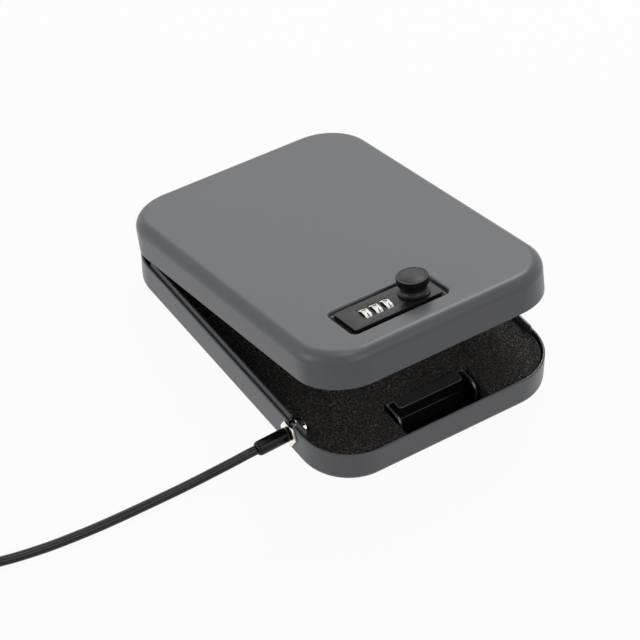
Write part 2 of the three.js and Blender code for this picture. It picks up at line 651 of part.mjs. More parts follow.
const wheelRoomY = () => [
  WHEEL_Y - WHEEL_RADIUS - WHEEL_ROOM_FRONT, WHEEL_Y + WHEEL_RADIUS + WHEEL_ROOM_REAR];

function makeHousing() {
  const span = [HOUSING_BOTTOM - OVERRUN, LID_TOP];
  const [roomStart, roomEnd] = wheelRoomX();
  const slot = AXLE_RADIUS + SEAT;
  const axleReach = [roomStart - AXLE_END - SEAT, roomEnd + AXLE_END / 2 + SEAT];
  const [, rightScrewX] = plateScrewX();
  return cut(
    lockBlock(PLATE_WIDTH, HOUSING_DEPTH_Y, HOUSING_CORNER, [HOUSING_BOTTOM, HOUSING_TOP]),
    block([roomStart, roomEnd], wheelRoomY(), [WHEEL_ROOM_FLOOR, LID_TOP]),
    block(axleReach, [WHEEL_Y - slot, WHEEL_Y + slot], [WHEEL_Z, LID_TOP]),
    alongX(bar(slot, axleReach), [WHEEL_Y, WHEEL_Z], SMALL_SIDES),
    post(bar(SPINDLE_RADIUS + SEAT, span), [0, LOCK_Y], ROUND_SIDES),
    ...plateScrewPlaces().map((place) => post(bar(SCREW_RADIUS + SEAT, span), place)),
    ...plateScrewY().map((y) => post(
      bar(SCREW_RECESS, [HOUSING_BOTTOM - OVERRUN, HOUSING_BOTTOM + SCREW_HEAD + 2 * SEAT]),
      [rightScrewX, y])),
    ...carrierScrewPlaces().map((place) => post(
      bar(SCREW_RADIUS + SEAT, [HOUSING_BOTTOM - OVERRUN, HOUSING_BOTTOM + SCREW_BLIND + SEAT]), place)));
}

function makeAxle() {
  const [roomStart, roomEnd] = wheelRoomX();
  return alongX(bar(AXLE_RADIUS, [roomStart - AXLE_END, roomEnd + AXLE_END / 2]),
    [WHEEL_Y, WHEEL_Z], SMALL_SIDES);
}

/** A wheel of ten faces with a groove between each two, standing with a face up. */
function makeWheel(index) {
  const outline = new THREE.Shape();
  const step = 2 * Math.PI / WHEEL_DIGITS;
  const angles = [-0.5, WHEEL_GROOVE_SHARE - 0.5, 0, 0.5 - WHEEL_GROOVE_SHARE];
  for (let digit = 0; digit < WHEEL_DIGITS; digit += 1) {
    angles.forEach((share, corner) => {
      const radius = corner === 0 ? WHEEL_RADIUS - WHEEL_GROOVE : WHEEL_RADIUS;
      const angle = (digit + share) * step + QUARTER_TURN;
      const [y, z] = [WHEEL_Y + radius * Math.cos(angle), WHEEL_Z + radius * Math.sin(angle)];
      if (digit === 0 && corner === 0) outline.moveTo(y, z);
      else outline.lineTo(y, z);
    });
  }
  const [left, right] = [wheelX(index) - WHEEL_WIDTH / 2, wheelX(index) + WHEEL_WIDTH / 2];
  return cut(
    prismAlongX(outline, [left, right]),
    alongX(bar(AXLE_RADIUS + SEAT, [left - OVERRUN, right + OVERRUN]), [WHEEL_Y, WHEEL_Z], SMALL_SIDES));
}

/** The disc beside a wheel, with the gate that the fence drops into. */
function makeGateDisc(index) {
  const left = wheelX(index) + WHEEL_WIDTH / 2 + SEAT;
  const right = left + GATE_DISC_WIDTH;
  const gate = GATE_WIDTH / 2;
  return cut(
    alongX(ringProfile(AXLE_RADIUS + SEAT, GATE_DISC_RADIUS, [left, right]), [WHEEL_Y, WHEEL_Z]),
    block([left - OVERRUN, right + OVERRUN], [WHEEL_Y - gate, WHEEL_Y + gate],
      [WHEEL_Z - GATE_DISC_RADIUS - OVERRUN, WHEEL_Z - GATE_DISC_RADIUS + GATE_DEPTH]));
}

/** A strip in front of the wheels with a sprung finger for each. */
function makeDetentSpring() {
  const front = wheelRoomY()[0] + SEAT;
  const back = front + SPRING_THICKNESS;
  const floor = WHEEL_ROOM_FLOOR + SEAT;
  const [roomStart, roomEnd] = wheelRoomX();
  const tip = floor + SPRING_FINGER_HEIGHT;
  const finger = polygon([
    [front, floor], [back, floor], [back, floor + SPRING_STRIP], [back + SPRING_TIP / 2, tip],
    [back - SPRING_TIP / 2, tip + SPRING_THICKNESS], [front, floor + SPRING_STRIP]]);
  const strip = block([roomStart + SEAT, roomEnd - SEAT], [front, back], [floor, floor + SPRING_STRIP]);
  return join(strip, ...Array.from({ length: WHEEL_COUNT }, (_, index) => prismAlongX(
    finger, [wheelX(index) - SPRING_FINGER_WIDTH / 2, wheelX(index) + SPRING_FINGER_WIDTH / 2])));
}

/** A bar behind the wheels with a tooth under each gate. */
function makeFence() {
  const back = wheelRoomY()[1] - SEAT;
  const floor = WHEEL_ROOM_FLOOR + SEAT;
  const [roomStart, roomEnd] = wheelRoomX();
  const rail = block([roomStart + SEAT, roomEnd - SEAT], [back - FENCE_THICKNESS, back],
    [floor, floor + FENCE_HEIGHT]);
  return join(rail, ...Array.from({ length: WHEEL_COUNT }, (_, index) => {
    const middle = wheelX(index) + WHEEL_WIDTH / 2 + SEAT + GATE_DISC_WIDTH / 2;
    return block([middle - FENCE_TOOTH_WIDTH / 2, middle + FENCE_TOOTH_WIDTH / 2],
      [back - FENCE_TOOTH_REACH - FENCE_THICKNESS, back], [floor, floor + FENCE_THICKNESS]);
  }));
}

/** A pan head screw with its head below and its shank reaching up. */
function makeScrew(place, headBottom, shankTop, radius = SCREW_RADIUS) {
  const under = headBottom + SCREW_HEAD;
  return post([
    [0, headBottom], [SCREW_HEAD_RADIUS - SEAT, headBottom], [SCREW_HEAD_RADIUS, headBottom + SEAT],
    [SCREW_HEAD_RADIUS, under], [radius, under], [radius, shankTop], [0, shankTop]], place);
}

// Knob, spindle and the cam that draws the latch

function makeKnob() {
  const bottom = PLATE_TOP + SEAT;
  const neckTop = bottom + KNOB_NECK_TOP;
  const flareShares = [[0.55, 0.12], [0.25, 0.35], [0.08, 0.7]];
  const rise = KNOB_NECK_TOP / 2;
  const flare = flareShares.map(([out, up]) => [
    KNOB_NECK_RADIUS + out * (KNOB_SKIRT_RADIUS - KNOB_NECK_RADIUS),
    bottom + KNOB_SKIRT_HEIGHT + up * rise]);
  const bore = SPINDLE_RADIUS + SEAT;
  const boreTop = bottom + SPINDLE_IN_KNOB;
  return solid(turned([
    [0, boreTop], [bore, boreTop], [bore, bottom], [KNOB_SKIRT_RADIUS, bottom],
    [KNOB_SKIRT_RADIUS, bottom + KNOB_SKIRT_HEIGHT], ...flare,
    [KNOB_NECK_RADIUS, bottom + KNOB_SKIRT_HEIGHT + rise], [KNOB_NECK_RADIUS, neckTop], [0, neckTop],
  ]).translate(0, LOCK_Y, 0));
}

function makeKnobCap() {
  const bottom = PLATE_TOP + KNOB_NECK_TOP + 2 * SEAT;
  const top = bottom + KNOB_CAP_HEIGHT;
  return solid(turned([
    [0, bottom], [KNOB_CAP_RADIUS - KNOB_CAP_BEVEL, bottom], [KNOB_CAP_RADIUS, bottom + KNOB_CAP_BEVEL],
    [KNOB_CAP_RADIUS, top - KNOB_CAP_BEVEL], [KNOB_CAP_RADIUS - KNOB_CAP_BEVEL, top], [0, top],
  ]).translate(0, LOCK_Y, 0));
}

function makeSpindle() {
  const half = SPINDLE_SQUARE / 2;
  const round = [HOUSING_BOTTOM, PLATE_TOP + SPINDLE_IN_KNOB];
  const thread = bar(SPINDLE_THREAD_RADIUS, [CAM_BOTTOM - OVERRUN, CAM_BOTTOM + SPINDLE_THREAD_DEPTH]);
  return cut(
    join(
      post(bar(SPINDLE_RADIUS, round), [0, LOCK_Y], ROUND_SIDES),
      block([-half, half], [LOCK_Y - half, LOCK_Y + half], [CAM_BOTTOM, HOUSING_BOTTOM + SHEET])),
    post(thread, [0, LOCK_Y]));
}

/**
 * A disc with a spiral slot. The pin's distance from the spindle falls evenly by the
 * latch's travel over a quarter turn, from straight ahead to the right of the spindle.
 */
function makeCam() {
  const halfSlot = LATCH_PIN_RADIUS + SEAT;
  const middle = (share) => {
    const angle = (share - 1) * QUARTER_TURN;
    const radius = LATCH_PIN_FAR - LATCH_TRAVEL * share;
    return new THREE.Vector2(radius * Math.cos(angle), radius * Math.sin(angle));
  };
  const side = (share, out) => {
    const reach = 1 / CAM_STEPS;
    const along = middle(share + reach).sub(middle(share - reach)).normalize();
    return middle(share).add(new THREE.Vector2(along.y, -along.x).multiplyScalar(out * halfSlot));
  };
  const shares = Array.from({ length: CAM_STEPS + 1 }, (_, step) => step / CAM_STEPS);
  const slot = new THREE.Shape([
    ...shares.map((share) => side(share, 1)), ...shares.reverse().map((share) => side(share, -1))]);
  const span = [CAM_BOTTOM - OVERRUN, CAM_TOP + OVERRUN];
  const half = SPINDLE_SQUARE / 2 + SEAT;
  const ends = [middle(0), middle(1)].map(({ x, y }) => post(bar(halfSlot, span), [x, y], SMALL_SIDES));
  return cut(
    post(bar(CAM_RADIUS, [CAM_BOTTOM, CAM_TOP]), [0, 0], 2 * ROUND_SIDES),
    prism(slot, span),
    ...ends,
    block([-half, half], [-half, half], span)).translate([0, LOCK_Y, 0]);
}

/** The latch plate, with its leg and the tongue that hooks under the keeper. */
function makeLatch() {
  const half = LATCH_WIDTH / 2;
  const tongueTop = KEEPER_TOP - KEEPER_SHEET - LATCH_SHELF_GAP;
  const tongueBottom = tongueTop - LATCH_SHEET;
  const slope = LATCH_TONGUE_SLOPE * LATCH_SHEET;
  const legBack = LATCH_FRONT + LATCH_SHEET;
  const side = polygon([
    [LATCH_FRONT, tongueBottom], [TONGUE_TIP - slope, tongueBottom], [TONGUE_TIP, tongueBottom + slope],
    [TONGUE_TIP, tongueTop], [legBack, tongueTop], [legBack, LATCH_BOTTOM],
    [LOCK_Y + LATCH_TAIL, LATCH_BOTTOM], [LOCK_Y + LATCH_TAIL, LATCH_TOP], [LATCH_FRONT, LATCH_TOP]]);
  const headRoom = SCREW_HEAD_RADIUS + 2 * SEAT;
  const through = [LATCH_BOTTOM - OVERRUN, LATCH_TOP + OVERRUN];
  return cut(
    prismAlongX(side, [-half, half]),
    block([-headRoom, headRoom], [LOCK_Y - LATCH_TRAVEL, LOCK_Y], through),
    post(bar(headRoom, through), [0, LOCK_Y - LATCH_TRAVEL]),
    post(bar(headRoom, through), [0, LOCK_Y]),
    post(bar(LATCH_PIN_RADIUS + SEAT, through), [0, LOCK_Y - LATCH_PIN_FAR]));
}

const makeLatchPin = () => post(
  bar(LATCH_PIN_RADIUS, [LATCH_BOTTOM, CAM_TOP - SEAT]), [0, LOCK_Y - LATCH_PIN_FAR]);

/** The cast carrier that guides the latch, held to the housing beside the cam. */
function makeCarrier() {
  const [left, right] = carrierRiserX();
  const guide = LATCH_WIDTH / 2 + SEAT;
  const y = [TONGUE_TIP + LATCH_CLEAR_OF_SHELF - SEAT, LOCK_Y + CARRIER_DEPTH_Y / 2];
  const riserY = [LOCK_Y - HOUSING_DEPTH_Y / 2, LOCK_Y + HOUSING_DEPTH_Y / 2];
  const rail = [CARRIER_BOTTOM, LATCH_TOP - SEAT];
  const holes = [...plateScrewPlaces().filter(([x]) => x < right), ...carrierScrewPlaces()];
  return cut(
    join(
      block([left, right], riserY, [CARRIER_BOTTOM, HOUSING_BOTTOM - SEAT]),
      block([left, CARRIER_RIGHT], y, [CARRIER_BOTTOM, CARRIER_TOP]),
      block([-guide - CARRIER_RAIL, -guide], y, rail),
      block([guide, guide + CARRIER_RAIL], y, rail)),
    ...holes.map((place) => post(bar(SCREW_RADIUS + SEAT, [0, LID_TOP]), place)),
    ...holes.map((place) => post(bar(SCREW_RECESS, [0, CARRIER_BOTTOM + SCREW_HEAD + 2 * SEAT]), place)));
}

// Cable gland

function makeGland() {
  const wall = -HALF_WIDTH - SEAT;
  const outer = wall - GLAND_FLANGE;
  const inner = SHEET + 2 * SEAT + WASHER_THICKNESS + SEAT + NUT_THICKNESS;
  const across = GLAND_FLATS / Math.sqrt(3);
  const hexagon = alongX(bar(across, [outer, wall]), [GLAND_Y, GLAND_HEIGHT], 6);
  const chamfered = alongX([
    [0, outer], [across - 2 * GLAND_CHAMFER, outer], [across, outer + GLAND_CHAMFER],
    [across, wall], [0, wall]], [GLAND_Y, GLAND_HEIGHT]);
  return join(
    hexagon.intersect(chamfered),
    alongX(bar(STUD_RADIUS, [outer + SEAT, inner - HALF_WIDTH]), [GLAND_Y, GLAND_HEIGHT], ROUND_SIDES));
}

const washerStart = SHEET + SEAT - HALF_WIDTH;
const nutStart = washerStart + WASHER_THICKNESS + SEAT;
const makeWasher = () => alongX(
  ringProfile(STUD_RADIUS + SEAT, WASHER_RADIUS, [washerStart, washerStart + WASHER_THICKNESS]),
  [GLAND_Y, GLAND_HEIGHT]);

function makeNut() {
  const end = nutStart + NUT_THICKNESS;
  const bore = STUD_RADIUS + SEAT;
  return alongX([
    [bore, nutStart], [NUT_RADIUS, nutStart], [NUT_RADIUS, end - NUT_CHAMFER],
    [NUT_RADIUS - NUT_CHAMFER, end], [bore, end], [bore, nutStart]], [GLAND_Y, GLAND_HEIGHT]);
}

/** The rubber boot, which droops a little from the gland. */
function makeBoot() {
  const profile = [[0, 0], [BOOT_RADIUS, 0]];
  const arcRadius = BOOT_RADIUS - BOOT_SHOULDER;
  const end = Math.acos((CABLE_RADIUS + SEAT / 2 - arcRadius) / BOOT_SHOULDER);
  const start = BOOT_LENGTH - BOOT_SHOULDER * Math.sin(end);
  for (let i = 0; i <= EDGE_STEPS; i += 1) {
    const angle = end * i / EDGE_STEPS;
    profile.push([arcRadius + BOOT_SHOULDER * Math.cos(angle), start + BOOT_SHOULDER * Math.sin(angle)]);
  }
  profile.push([0, BOOT_LENGTH]);
  const root = -HALF_WIDTH - SEAT - GLAND_FLANGE - 2 * SEAT;
  return solid(turned(profile).rotateY(-QUARTER_TURN - BOOT_DROOP).translate(root, GLAND_Y, GLAND_HEIGHT));
}

// Cable

/** A tube of round section along points, with square ends. */
function tube(points, radius, sides, steps) {
  const section = new THREE.Shape();
  for (let i = 0; i < sides; i += 1) {
    const angle = 2 * Math.PI * (i + 1 / 2) / sides;
    const [x, y] = [radius * Math.cos(angle), radius * Math.sin(angle)];
    if (i === 0) section.moveTo(x, y);
    else section.lineTo(x, y);
  }
  const path = new THREE.CatmullRomCurve3(points, false, 'centripetal');
  return solid(new THREE.ExtrudeGeometry(section, { steps, extrudePath: path, bevelEnabled: false }));
}

/** The coil's middle line: in on the upper layer, down at the turn, out on the floor. */
function coilPoints() {
  const points = [];
  const reversal = COIL_REVERSAL_TURNS;
  const lowerTurns = COIL_INWARD_TURNS - 1
    + (COIL_ENTRY - COIL_LEAVES_AT) / (2 * Math.PI) + (1 - reversal);
  const turns = COIL_INWARD_TURNS + reversal + lowerTurns;
  const steps = Math.round(turns * COIL_STEPS_PER_TURN);
  for (let i = 0; i <= steps; i += 1) {
    const turn = turns * i / steps;
    const past = Math.min(Math.max(turn - COIL_INWARD_TURNS, 0), reversal);
    const inward = Math.min(turn, COIL_INWARD_TURNS);
    const outward = Math.max(turn - COIL_INWARD_TURNS - reversal, 0);
    const radius = COIL_RADIUS - COIL_PITCH * (inward + past - past * past / reversal - outward);
    const drop = (1 - Math.cos(Math.PI * past / reversal)) / 2;
    const angle = COIL_ENTRY - 2 * Math.PI * turn;
    points.push(new THREE.Vector3(
      COIL_X + radius * Math.cos(angle), COIL_Y + radius * Math.sin(angle),
      COIL_UPPER_Z + (COIL_FLOOR_Z - COIL_UPPER_Z) * drop));
  }
  return points;
}

/** A point on the straight that leads into the coil, some way before its first turn. */
function coilLead(distance) {
  const heading = new THREE.Vector3(Math.sin(COIL_ENTRY), -Math.cos(COIL_ENTRY), 0);
  return coilPoints()[0].addScaledVector(heading, -distance);
}

/** Where the coil's free end meets the crimp. */
function tailPoints(last) {
  const level = new THREE.Vector3(last.x, last.y + COIL_TAIL - COIL_TAIL_LEVEL, CRIMP_Z);
  return [
    last.clone().setY(last.y + (COIL_TAIL - COIL_TAIL_LEVEL) / 2),
    level,
    level.clone().setY(last.y + COIL_TAIL)];
}

/** The least gap between parts of the coil at least half a turn apart. */
function leastGap(points, apart) {
  let least = Infinity;
  for (let i = 0; i < points.length; i += 1) {
    for (let j = i + apart; j < points.length; j += 1) {
      least = Math.min(least, points[i].distanceTo(points[j]));
    }
  }
  return least - CABLE_DIAMETER;
}

function makeCoil() {
  const turnsPoints = coilPoints();
  const points = [
    coilLead(CABLE_DIAMETER), ...turnsPoints, ...tailPoints(turnsPoints[turnsPoints.length - 1])];
  const path = new THREE.CatmullRomCurve3(points, false, 'centripetal');
  const fine = path.getSpacedPoints(COIL_GAP_POINTS * turnsPoints.length);
  const gap = leastGap(fine, COIL_GAP_POINTS * COIL_STEPS_PER_TURN / 2);
  console.log(`coil: least gap ${gap.toFixed(2)} mm, length ${path.getLength().toFixed(0)} mm`);
  return tube(points, CABLE_RADIUS, COIL_SIDES, points.length);
}

function makeCable() {
  const points = CABLE_POINTS.map((point) => new THREE.Vector3(...point));
  points.push(coilLead(2 * CABLE_DIAMETER + SEAT), coilLead(CABLE_DIAMETER + SEAT));
  return tube(points, CABLE_RADIUS, CABLE_SIDES, CABLE_SPAN_STEPS);
}

/** Where the crimp starts and the middle line between its two cables. */
function crimpStart() {
  const points = coilPoints();
  const last = points[points.length - 1];
  return new THREE.Vector3(last.x - CRIMP_SPACING / 2, last.y + COIL_TAIL + SEAT, CRIMP_Z);
}

function makeCrimp() {
  const at = crimpStart();
  const radius = CABLE_RADIUS + CRIMP_WALL;
  const section = new THREE.Shape(roundedOutline(
    CRIMP_SPACING / 2 + radius, radius, radius - SEAT, EDGE_STEPS));
  return solid(extrusion(section, CRIMP_LENGTH).rotateX(QUARTER_TURN)
    .translate(at.x, at.y + CRIMP_LENGTH, at.z));
}

/** The end loop, which leaves the crimp and comes back into it. */
function makeEye() {
  const at = crimpStart();
  const start = at.y + CRIMP_LENGTH + SEAT;
  const half = CRIMP_SPACING / 2;
  const widthShares = [0, 0, 0.3, 0.72, 0.97, 0.97, 0.6];
  const lengthShares = [0, 0.07, 0.25, 0.45, 0.63, 0.8, 0.95];
  const sideways = widthShares.map((share) => half + share * (EYE_HALF_WIDTH - half));
  const height = (share) => (
    COIL_FLOOR_Z + (CRIMP_Z - COIL_FLOOR_Z) * Math.max(0, 1 - share / EYE_SETTLES_SHARE));
  const leg = lengthShares.map((share, index) => new THREE.Vector3(
    at.x + sideways[index], start + share * EYE_LENGTH, height(share)));
  const tip = new THREE.Vector3(at.x, start + EYE_LENGTH, COIL_FLOOR_Z);
  const back = leg.map((point) => point.clone().setX(2 * at.x - point.x)).reverse();
  return tube([...leg, tip, ...back], CABLE_RADIUS, EYE_SIDES, EYE_STEPS);
}

// Assembly

const PAINTED_STEEL = { color: 0x6e7073, roughness: 0.5, metalness: 0.25 };
const BLACK_SATIN = { color: 0x1b1c1e, roughness: 0.45, metalness: 0.1 };
const BLACK_STEEL = { color: 0x1e1f20, roughness: 0.4, metalness: 0.6 };
const NICKEL = { color: 0xc9cbcd, roughness: 0.22, metalness: 1 };
const CHROME = { color: 0xd8dadb, roughness: 0.12, metalness: 1 };
const ZINC = { color: 0x9a9da0, roughness: 0.4, metalness: 0.9 };
const BRASS = { color: 0xb08d4c, roughness: 0.35, metalness: 0.9 };
const FOAM = { color: 0x222324, roughness: 0.95, metalness: 0 };
const RUBBER = { color: 0x151617, roughness: 0.7, metalness: 0 };
const VINYL = { color: 0x18191a, roughness: 0.3, metalness: 0 };

function add(group, name, body, finish) {
  const mesh = new THREE.Mesh(geometryOf(body), new THREE.MeshStandardMaterial(finish));
  mesh.name = name;
  group.add(mesh);
}

const base = new THREE.Group();
add(base, 'base_shell', makeBaseShell(), PAINTED_STEEL);
add(base, 'base_foam', makeBaseFoam(), FOAM);
add(base, 'latch_keeper', makeKeeper(), BLACK_STEEL);
add(base, 'cable_gland', makeGland(), CHROME);
add(base, 'gland_washer', makeWasher(), ZINC);
add(base, 'gland_nut', makeNut(), CHROME);
add(base, 'cable_boot', makeBoot(), RUBBER);
add(base, 'cable_run', makeCable(), VINYL);
add(base, 'cable_coil', makeCoil(), VINYL);
add(base, 'crimp_sleeve', makeCrimp(), ZINC);
add(base, 'cable_eye_loop', makeEye(), VINYL);

// The lid's own group is placed at the hinge, so that its pieces keep their closed places
const lid = new THREE.Group();
lid.position.set(0, -HINGE_Y, -HINGE_Z);
const hinged = new THREE.Group();
hinged.position.set(0, HINGE_Y, HINGE_Z);
hinged.rotation.x = -OPEN_ANGLE;
hinged.add(lid);

[['left', -HINGE_OFFSET], ['right', HINGE_OFFSET]].forEach(([side, x]) => {
  add(base, `hinge_base_leaf_${side}`, makeBaseLeaf(x), ZINC);
  add(base, `hinge_pin_${side}`, makeHingePin(x), ZINC);
  add(lid, `hinge_lid_leaf_${side}`, makeLidLeaf(x), ZINC);
});

add(lid, 'lid_shell', makeLidShell(), PAINTED_STEEL);
add(lid, 'lid_foam', makeLidFoam(), FOAM);
add(lid, 'lock_plate', makeLockPlate(), BLACK_SATIN);
add(lid, 'lock_housing', makeHousing(), ZINC);
add(lid, 'wheel_axle', makeAxle(), ZINC);
for (let index = 0; index < WHEEL_COUNT; index += 1) {
  add(lid, `number_wheel_${index + 1}`, makeWheel(index), NICKEL);
  add(lid, `gate_disc_${index + 1}`, makeGateDisc(index), BRASS);
}
add(lid, 'detent_spring', makeDetentSpring(), ZINC);
add(lid, 'fence_bar', makeFence(), ZINC);
add(lid, 'knob', makeKnob(), BLACK_SATIN);
add(lid, 'knob_cap', makeKnobCap(), BLACK_SATIN);
add(lid, 'knob_spindle', makeSpindle(), ZINC);
add(lid, 'spiral_cam', makeCam(), ZINC);
add(lid, 'cam_screw', makeScrew(
  [0, LOCK_Y], LATCH_TOP - SCREW_HEAD, CAM_BOTTOM + CAM_SCREW_LENGTH, CAM_SCREW_RADIUS), ZINC);
add(lid, 'latch_slide', makeLatch(), ZINC);
add(lid, 'latch_pin', makeLatchPin(), ZINC);
add(lid, 'latch_carrier', makeCarrier(), ZINC);
const screwTop = PLATE_BOTTOM + SCREW_IN_PLATE;
plateScrewPlaces().forEach((place, index) => {
  const head = place[0] < LOCK_X ? CARRIER_BOTTOM + SEAT : HOUSING_BOTTOM + SEAT;
  add(lid, `plate_screw_${index + 1}`, makeScrew(place, head, screwTop), ZINC);
});
carrierScrewPlaces().forEach((place, index) => {
  const screw = makeScrew(place, CARRIER_BOTTOM + SEAT, HOUSING_BOTTOM + SCREW_BLIND);
  add(lid, `carrier_screw_${index + 1}`, screw, ZINC);
});

const safe = new THREE.Group();
safe.add(base, hinged);

export default safe;
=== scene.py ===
"""Looks of a portable car safe: finishes, finer shells, cable, studio and camera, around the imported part.

Lengths are in metres. The case is modelled closed, and what belongs to the lid is then turned about
the hinge to the angle that the lid stands open at.
"""

import logging
import math
from collections.abc import Callable, Iterable, Iterator, Sequence
from contextlib import contextmanager
from dataclasses import dataclass
from enum import Enum
from functools import cache
from typing import Any

import bmesh
import bpy
from mathutils import Matrix, Vector


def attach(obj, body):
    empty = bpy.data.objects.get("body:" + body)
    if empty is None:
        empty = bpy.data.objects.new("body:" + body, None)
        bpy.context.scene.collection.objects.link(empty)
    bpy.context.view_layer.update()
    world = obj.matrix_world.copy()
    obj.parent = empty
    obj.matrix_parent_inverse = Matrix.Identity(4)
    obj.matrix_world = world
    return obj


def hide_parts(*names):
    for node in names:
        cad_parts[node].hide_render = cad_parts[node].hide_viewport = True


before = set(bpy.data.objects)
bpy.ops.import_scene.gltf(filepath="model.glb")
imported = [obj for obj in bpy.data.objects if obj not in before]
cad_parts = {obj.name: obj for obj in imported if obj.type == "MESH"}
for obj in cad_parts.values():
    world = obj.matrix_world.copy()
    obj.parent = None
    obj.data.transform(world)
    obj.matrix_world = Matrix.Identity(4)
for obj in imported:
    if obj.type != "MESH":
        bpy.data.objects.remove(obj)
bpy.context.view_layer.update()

LOG = logging.getLogger("car_safe")
QUARTER = math.pi / 2
SEAT = 0.0003
TOUCH = 1e-6
MERGE = 1e-7
SQUARE_CORNER = 57
SHELL_SMOOTH = 30
METAL_SMOOTH = 35
TURNED_SMOOTH = 40
RING_SMOOTH = 50
FOAM_SMOOTH = 60

Point = tuple[float, float, float]
Pair = tuple[float, float]
Colour = tuple[float, float, float]
FaceTest = Callable[[bpy.types.MeshPolygon], bool]


class Body(Enum):
    """The rigid bodies that pieces ride on."""

    BASE = "base"
    LID = "lid"
    KNOB = "knob"
    LATCH = "latch"
    WHEEL_1 = "wheel_1"
    WHEEL_2 = "wheel_2"
    WHEEL_3 = "wheel_3"


class Slot(Enum):
    """The record's material slots."""

    PAINT = "painted_steel"
    FOAM = "foam"
    BLACK_STEEL = "black_steel"
    CHROME = "chrome"
    ZINC = "zinc"
    RUBBER = "rubber"
    VINYL = "cable_vinyl"
    BLACK_SATIN = "black_satin"
    NICKEL = "nickel"


@dataclass(frozen=True)
class Case:
    """Sizes of the closed case that more than one piece follows."""

    width: float = 0.165
    length: float = 0.238
    corner: float = 0.0315
    corner_steps: int = 24
    sheet: float = 0.0012
    base_height: float = 0.0206
    lid_height: float = 0.0225
    hinge_from_rear: float = 0.0045
    hinge_below_rim: float = 0.0036
    open_degrees: float = 11.9
    cable_axis: Pair = (-0.0745, 0.0137)

    @property
    def lid_top(self) -> float:
        """Height of the closed lid's top."""
        return self.base_height + self.lid_height

    @property
    def straight(self) -> float:
        """Half the length of a side between its round corners."""
        return self.length / 2 - self.corner

    @property
    def hinge(self) -> Vector:
        """A point on the hinge's axis."""
        return Vector((0, self.length / 2 - self.hinge_from_rear, self.base_height - self.hinge_below_rim))

    @property
    def opening(self) -> Matrix:
        """The turn about the hinge that takes the closed lid to its place at rest.

        Returns:
            The turn.
        """
        there = Matrix.Translation(self.hinge)
        turn = Matrix.Rotation(-math.radians(self.open_degrees), 4, "X")
        return there @ turn @ there.inverted()

    @property
    def up(self) -> Vector:
        """The way that the opened lid's top faces."""
        return self.opening.to_3x3() @ Vector((0, 0, 1))


@dataclass(frozen=True)
class Lock:
    """Places on the closed lid that more than one piece of the lock follows."""

    spindle_y: float = -0.0865
    spindle_hole: float = 0.0033
    plate_top: float = 0.0426
    wheels: tuple[float, ...] = (-0.0329, -0.0256, -0.01835)
    wheels_y: float = -0.0859
    top_share: float = 0.9


CASE = Case()
LOCK = Lock()


# Meshes


def new_mesh(bm: bmesh.types.BMesh, name: str, smooth_degrees: float = 32) -> bpy.types.Object:
    """Makes an object of a finished bmesh, with its faces pointing out.

    Args:
        bm: The bmesh, which is freed.
        name: The object's name.
        smooth_degrees: Edges sharper than this stay sharp.

    Returns:
        The new object, at the origin.
    """
    bmesh.ops.recalc_face_normals(bm, faces=bm.faces)
    mesh = bpy.data.meshes.new(name)
    bm.to_mesh(mesh)
    bm.free()
    piece = bpy.data.objects.new(name, mesh)
    bpy.context.scene.collection.objects.link(piece)
    shade(piece, smooth_degrees)
    return piece


@contextmanager
def edited(piece: bpy.types.Object) -> Iterator[bmesh.types.BMesh]:
    """Opens a piece's mesh as a bmesh, and writes it back afterwards.

    Args:
        piece: The piece that changes.

    Yields:
        Its bmesh.
    """
    bm = bmesh.new()
    bm.from_mesh(piece.data)
    yield bm
    bm.to_mesh(piece.data)
    bm.free()


def shade(piece: bpy.types.Object, smooth_degrees: float) -> None:
    """Shades a piece smooth but for its sharper edges."""
    piece.data.shade_smooth()
    piece.data.set_sharp_from_angle(angle=math.radians(smooth_degrees))


def settle(piece: bpy.types.Object) -> None:
    """Turns a piece's modifiers into its mesh.

    Args:
        piece: The piece that changes.
    """
    graph = bpy.context.evaluated_depsgraph_get()
    graph.update()
    old = piece.data
    mesh = bpy.data.meshes.new_from_object(piece.evaluated_get(graph))
    piece.modifiers.clear()
    piece.data = mesh
    bpy.data.meshes.remove(old)


def weigh_normals(piece: bpy.types.Object) -> None:
    """Keeps large flat faces evenly lit beside their round edges.

    Args:
        piece: The piece that changes.
    """
    modifier = piece.modifiers.new("flat faces", "WEIGHTED_NORMAL")
    modifier.keep_sharp = True
    modifier.weight = 100
    settle(piece)


def carve(piece: bpy.types.Object, tool: bmesh.types.BMesh | bpy.types.Object,
          operation: str = "DIFFERENCE") -> None:
    """Cuts a tool out of a piece, or joins it on, and removes the tool.

    Args:
        piece: The closed piece that changes.
        tool: The closed solid that it is cut by or joined with.
        operation: DIFFERENCE, UNION or INTERSECT.
    """
    cutter = tool if isinstance(tool, bpy.types.Object) else new_mesh(tool, "tool")
    modifier = piece.modifiers.new("carve", "BOOLEAN")
    modifier.operation = operation
    modifier.solver = "EXACT"
    modifier.object = cutter
    settle(piece)
    bpy.data.objects.remove(cutter)


def bevel(bm: bmesh.types.BMesh, edges: Iterable[bmesh.types.BMEdge], offset: float, segments: int) -> None:
    """Rounds edges of a bmesh.

    Args:
        bm: The bmesh that changes.
        edges: The edges to round.
        offset: How far the rounding reaches from an edge.
        segments: How many faces round an edge.
    """
    bmesh.ops.bevel(
        bm, geom=list(edges), offset=offset, segments=segments, profile=0.5, affect="EDGES",
        material=-1, clamp_overlap=True, offset_type="OFFSET")


def upright(edge: bmesh.types.BMEdge) -> bool:
    """Whether an edge stands along z."""
    span = edge.verts[0].co - edge.verts[1].co
    return abs(span.z) > 10 * max(abs(span.x), abs(span.y), 1e-9)


def all_near(edge: bmesh.types.BMEdge, axis: int, place: float) -> bool:
    """Whether both ends of an edge lie at a place along an axis."""
    return all(abs(vert.co[axis] - place) < TOUCH for vert in edge.verts)


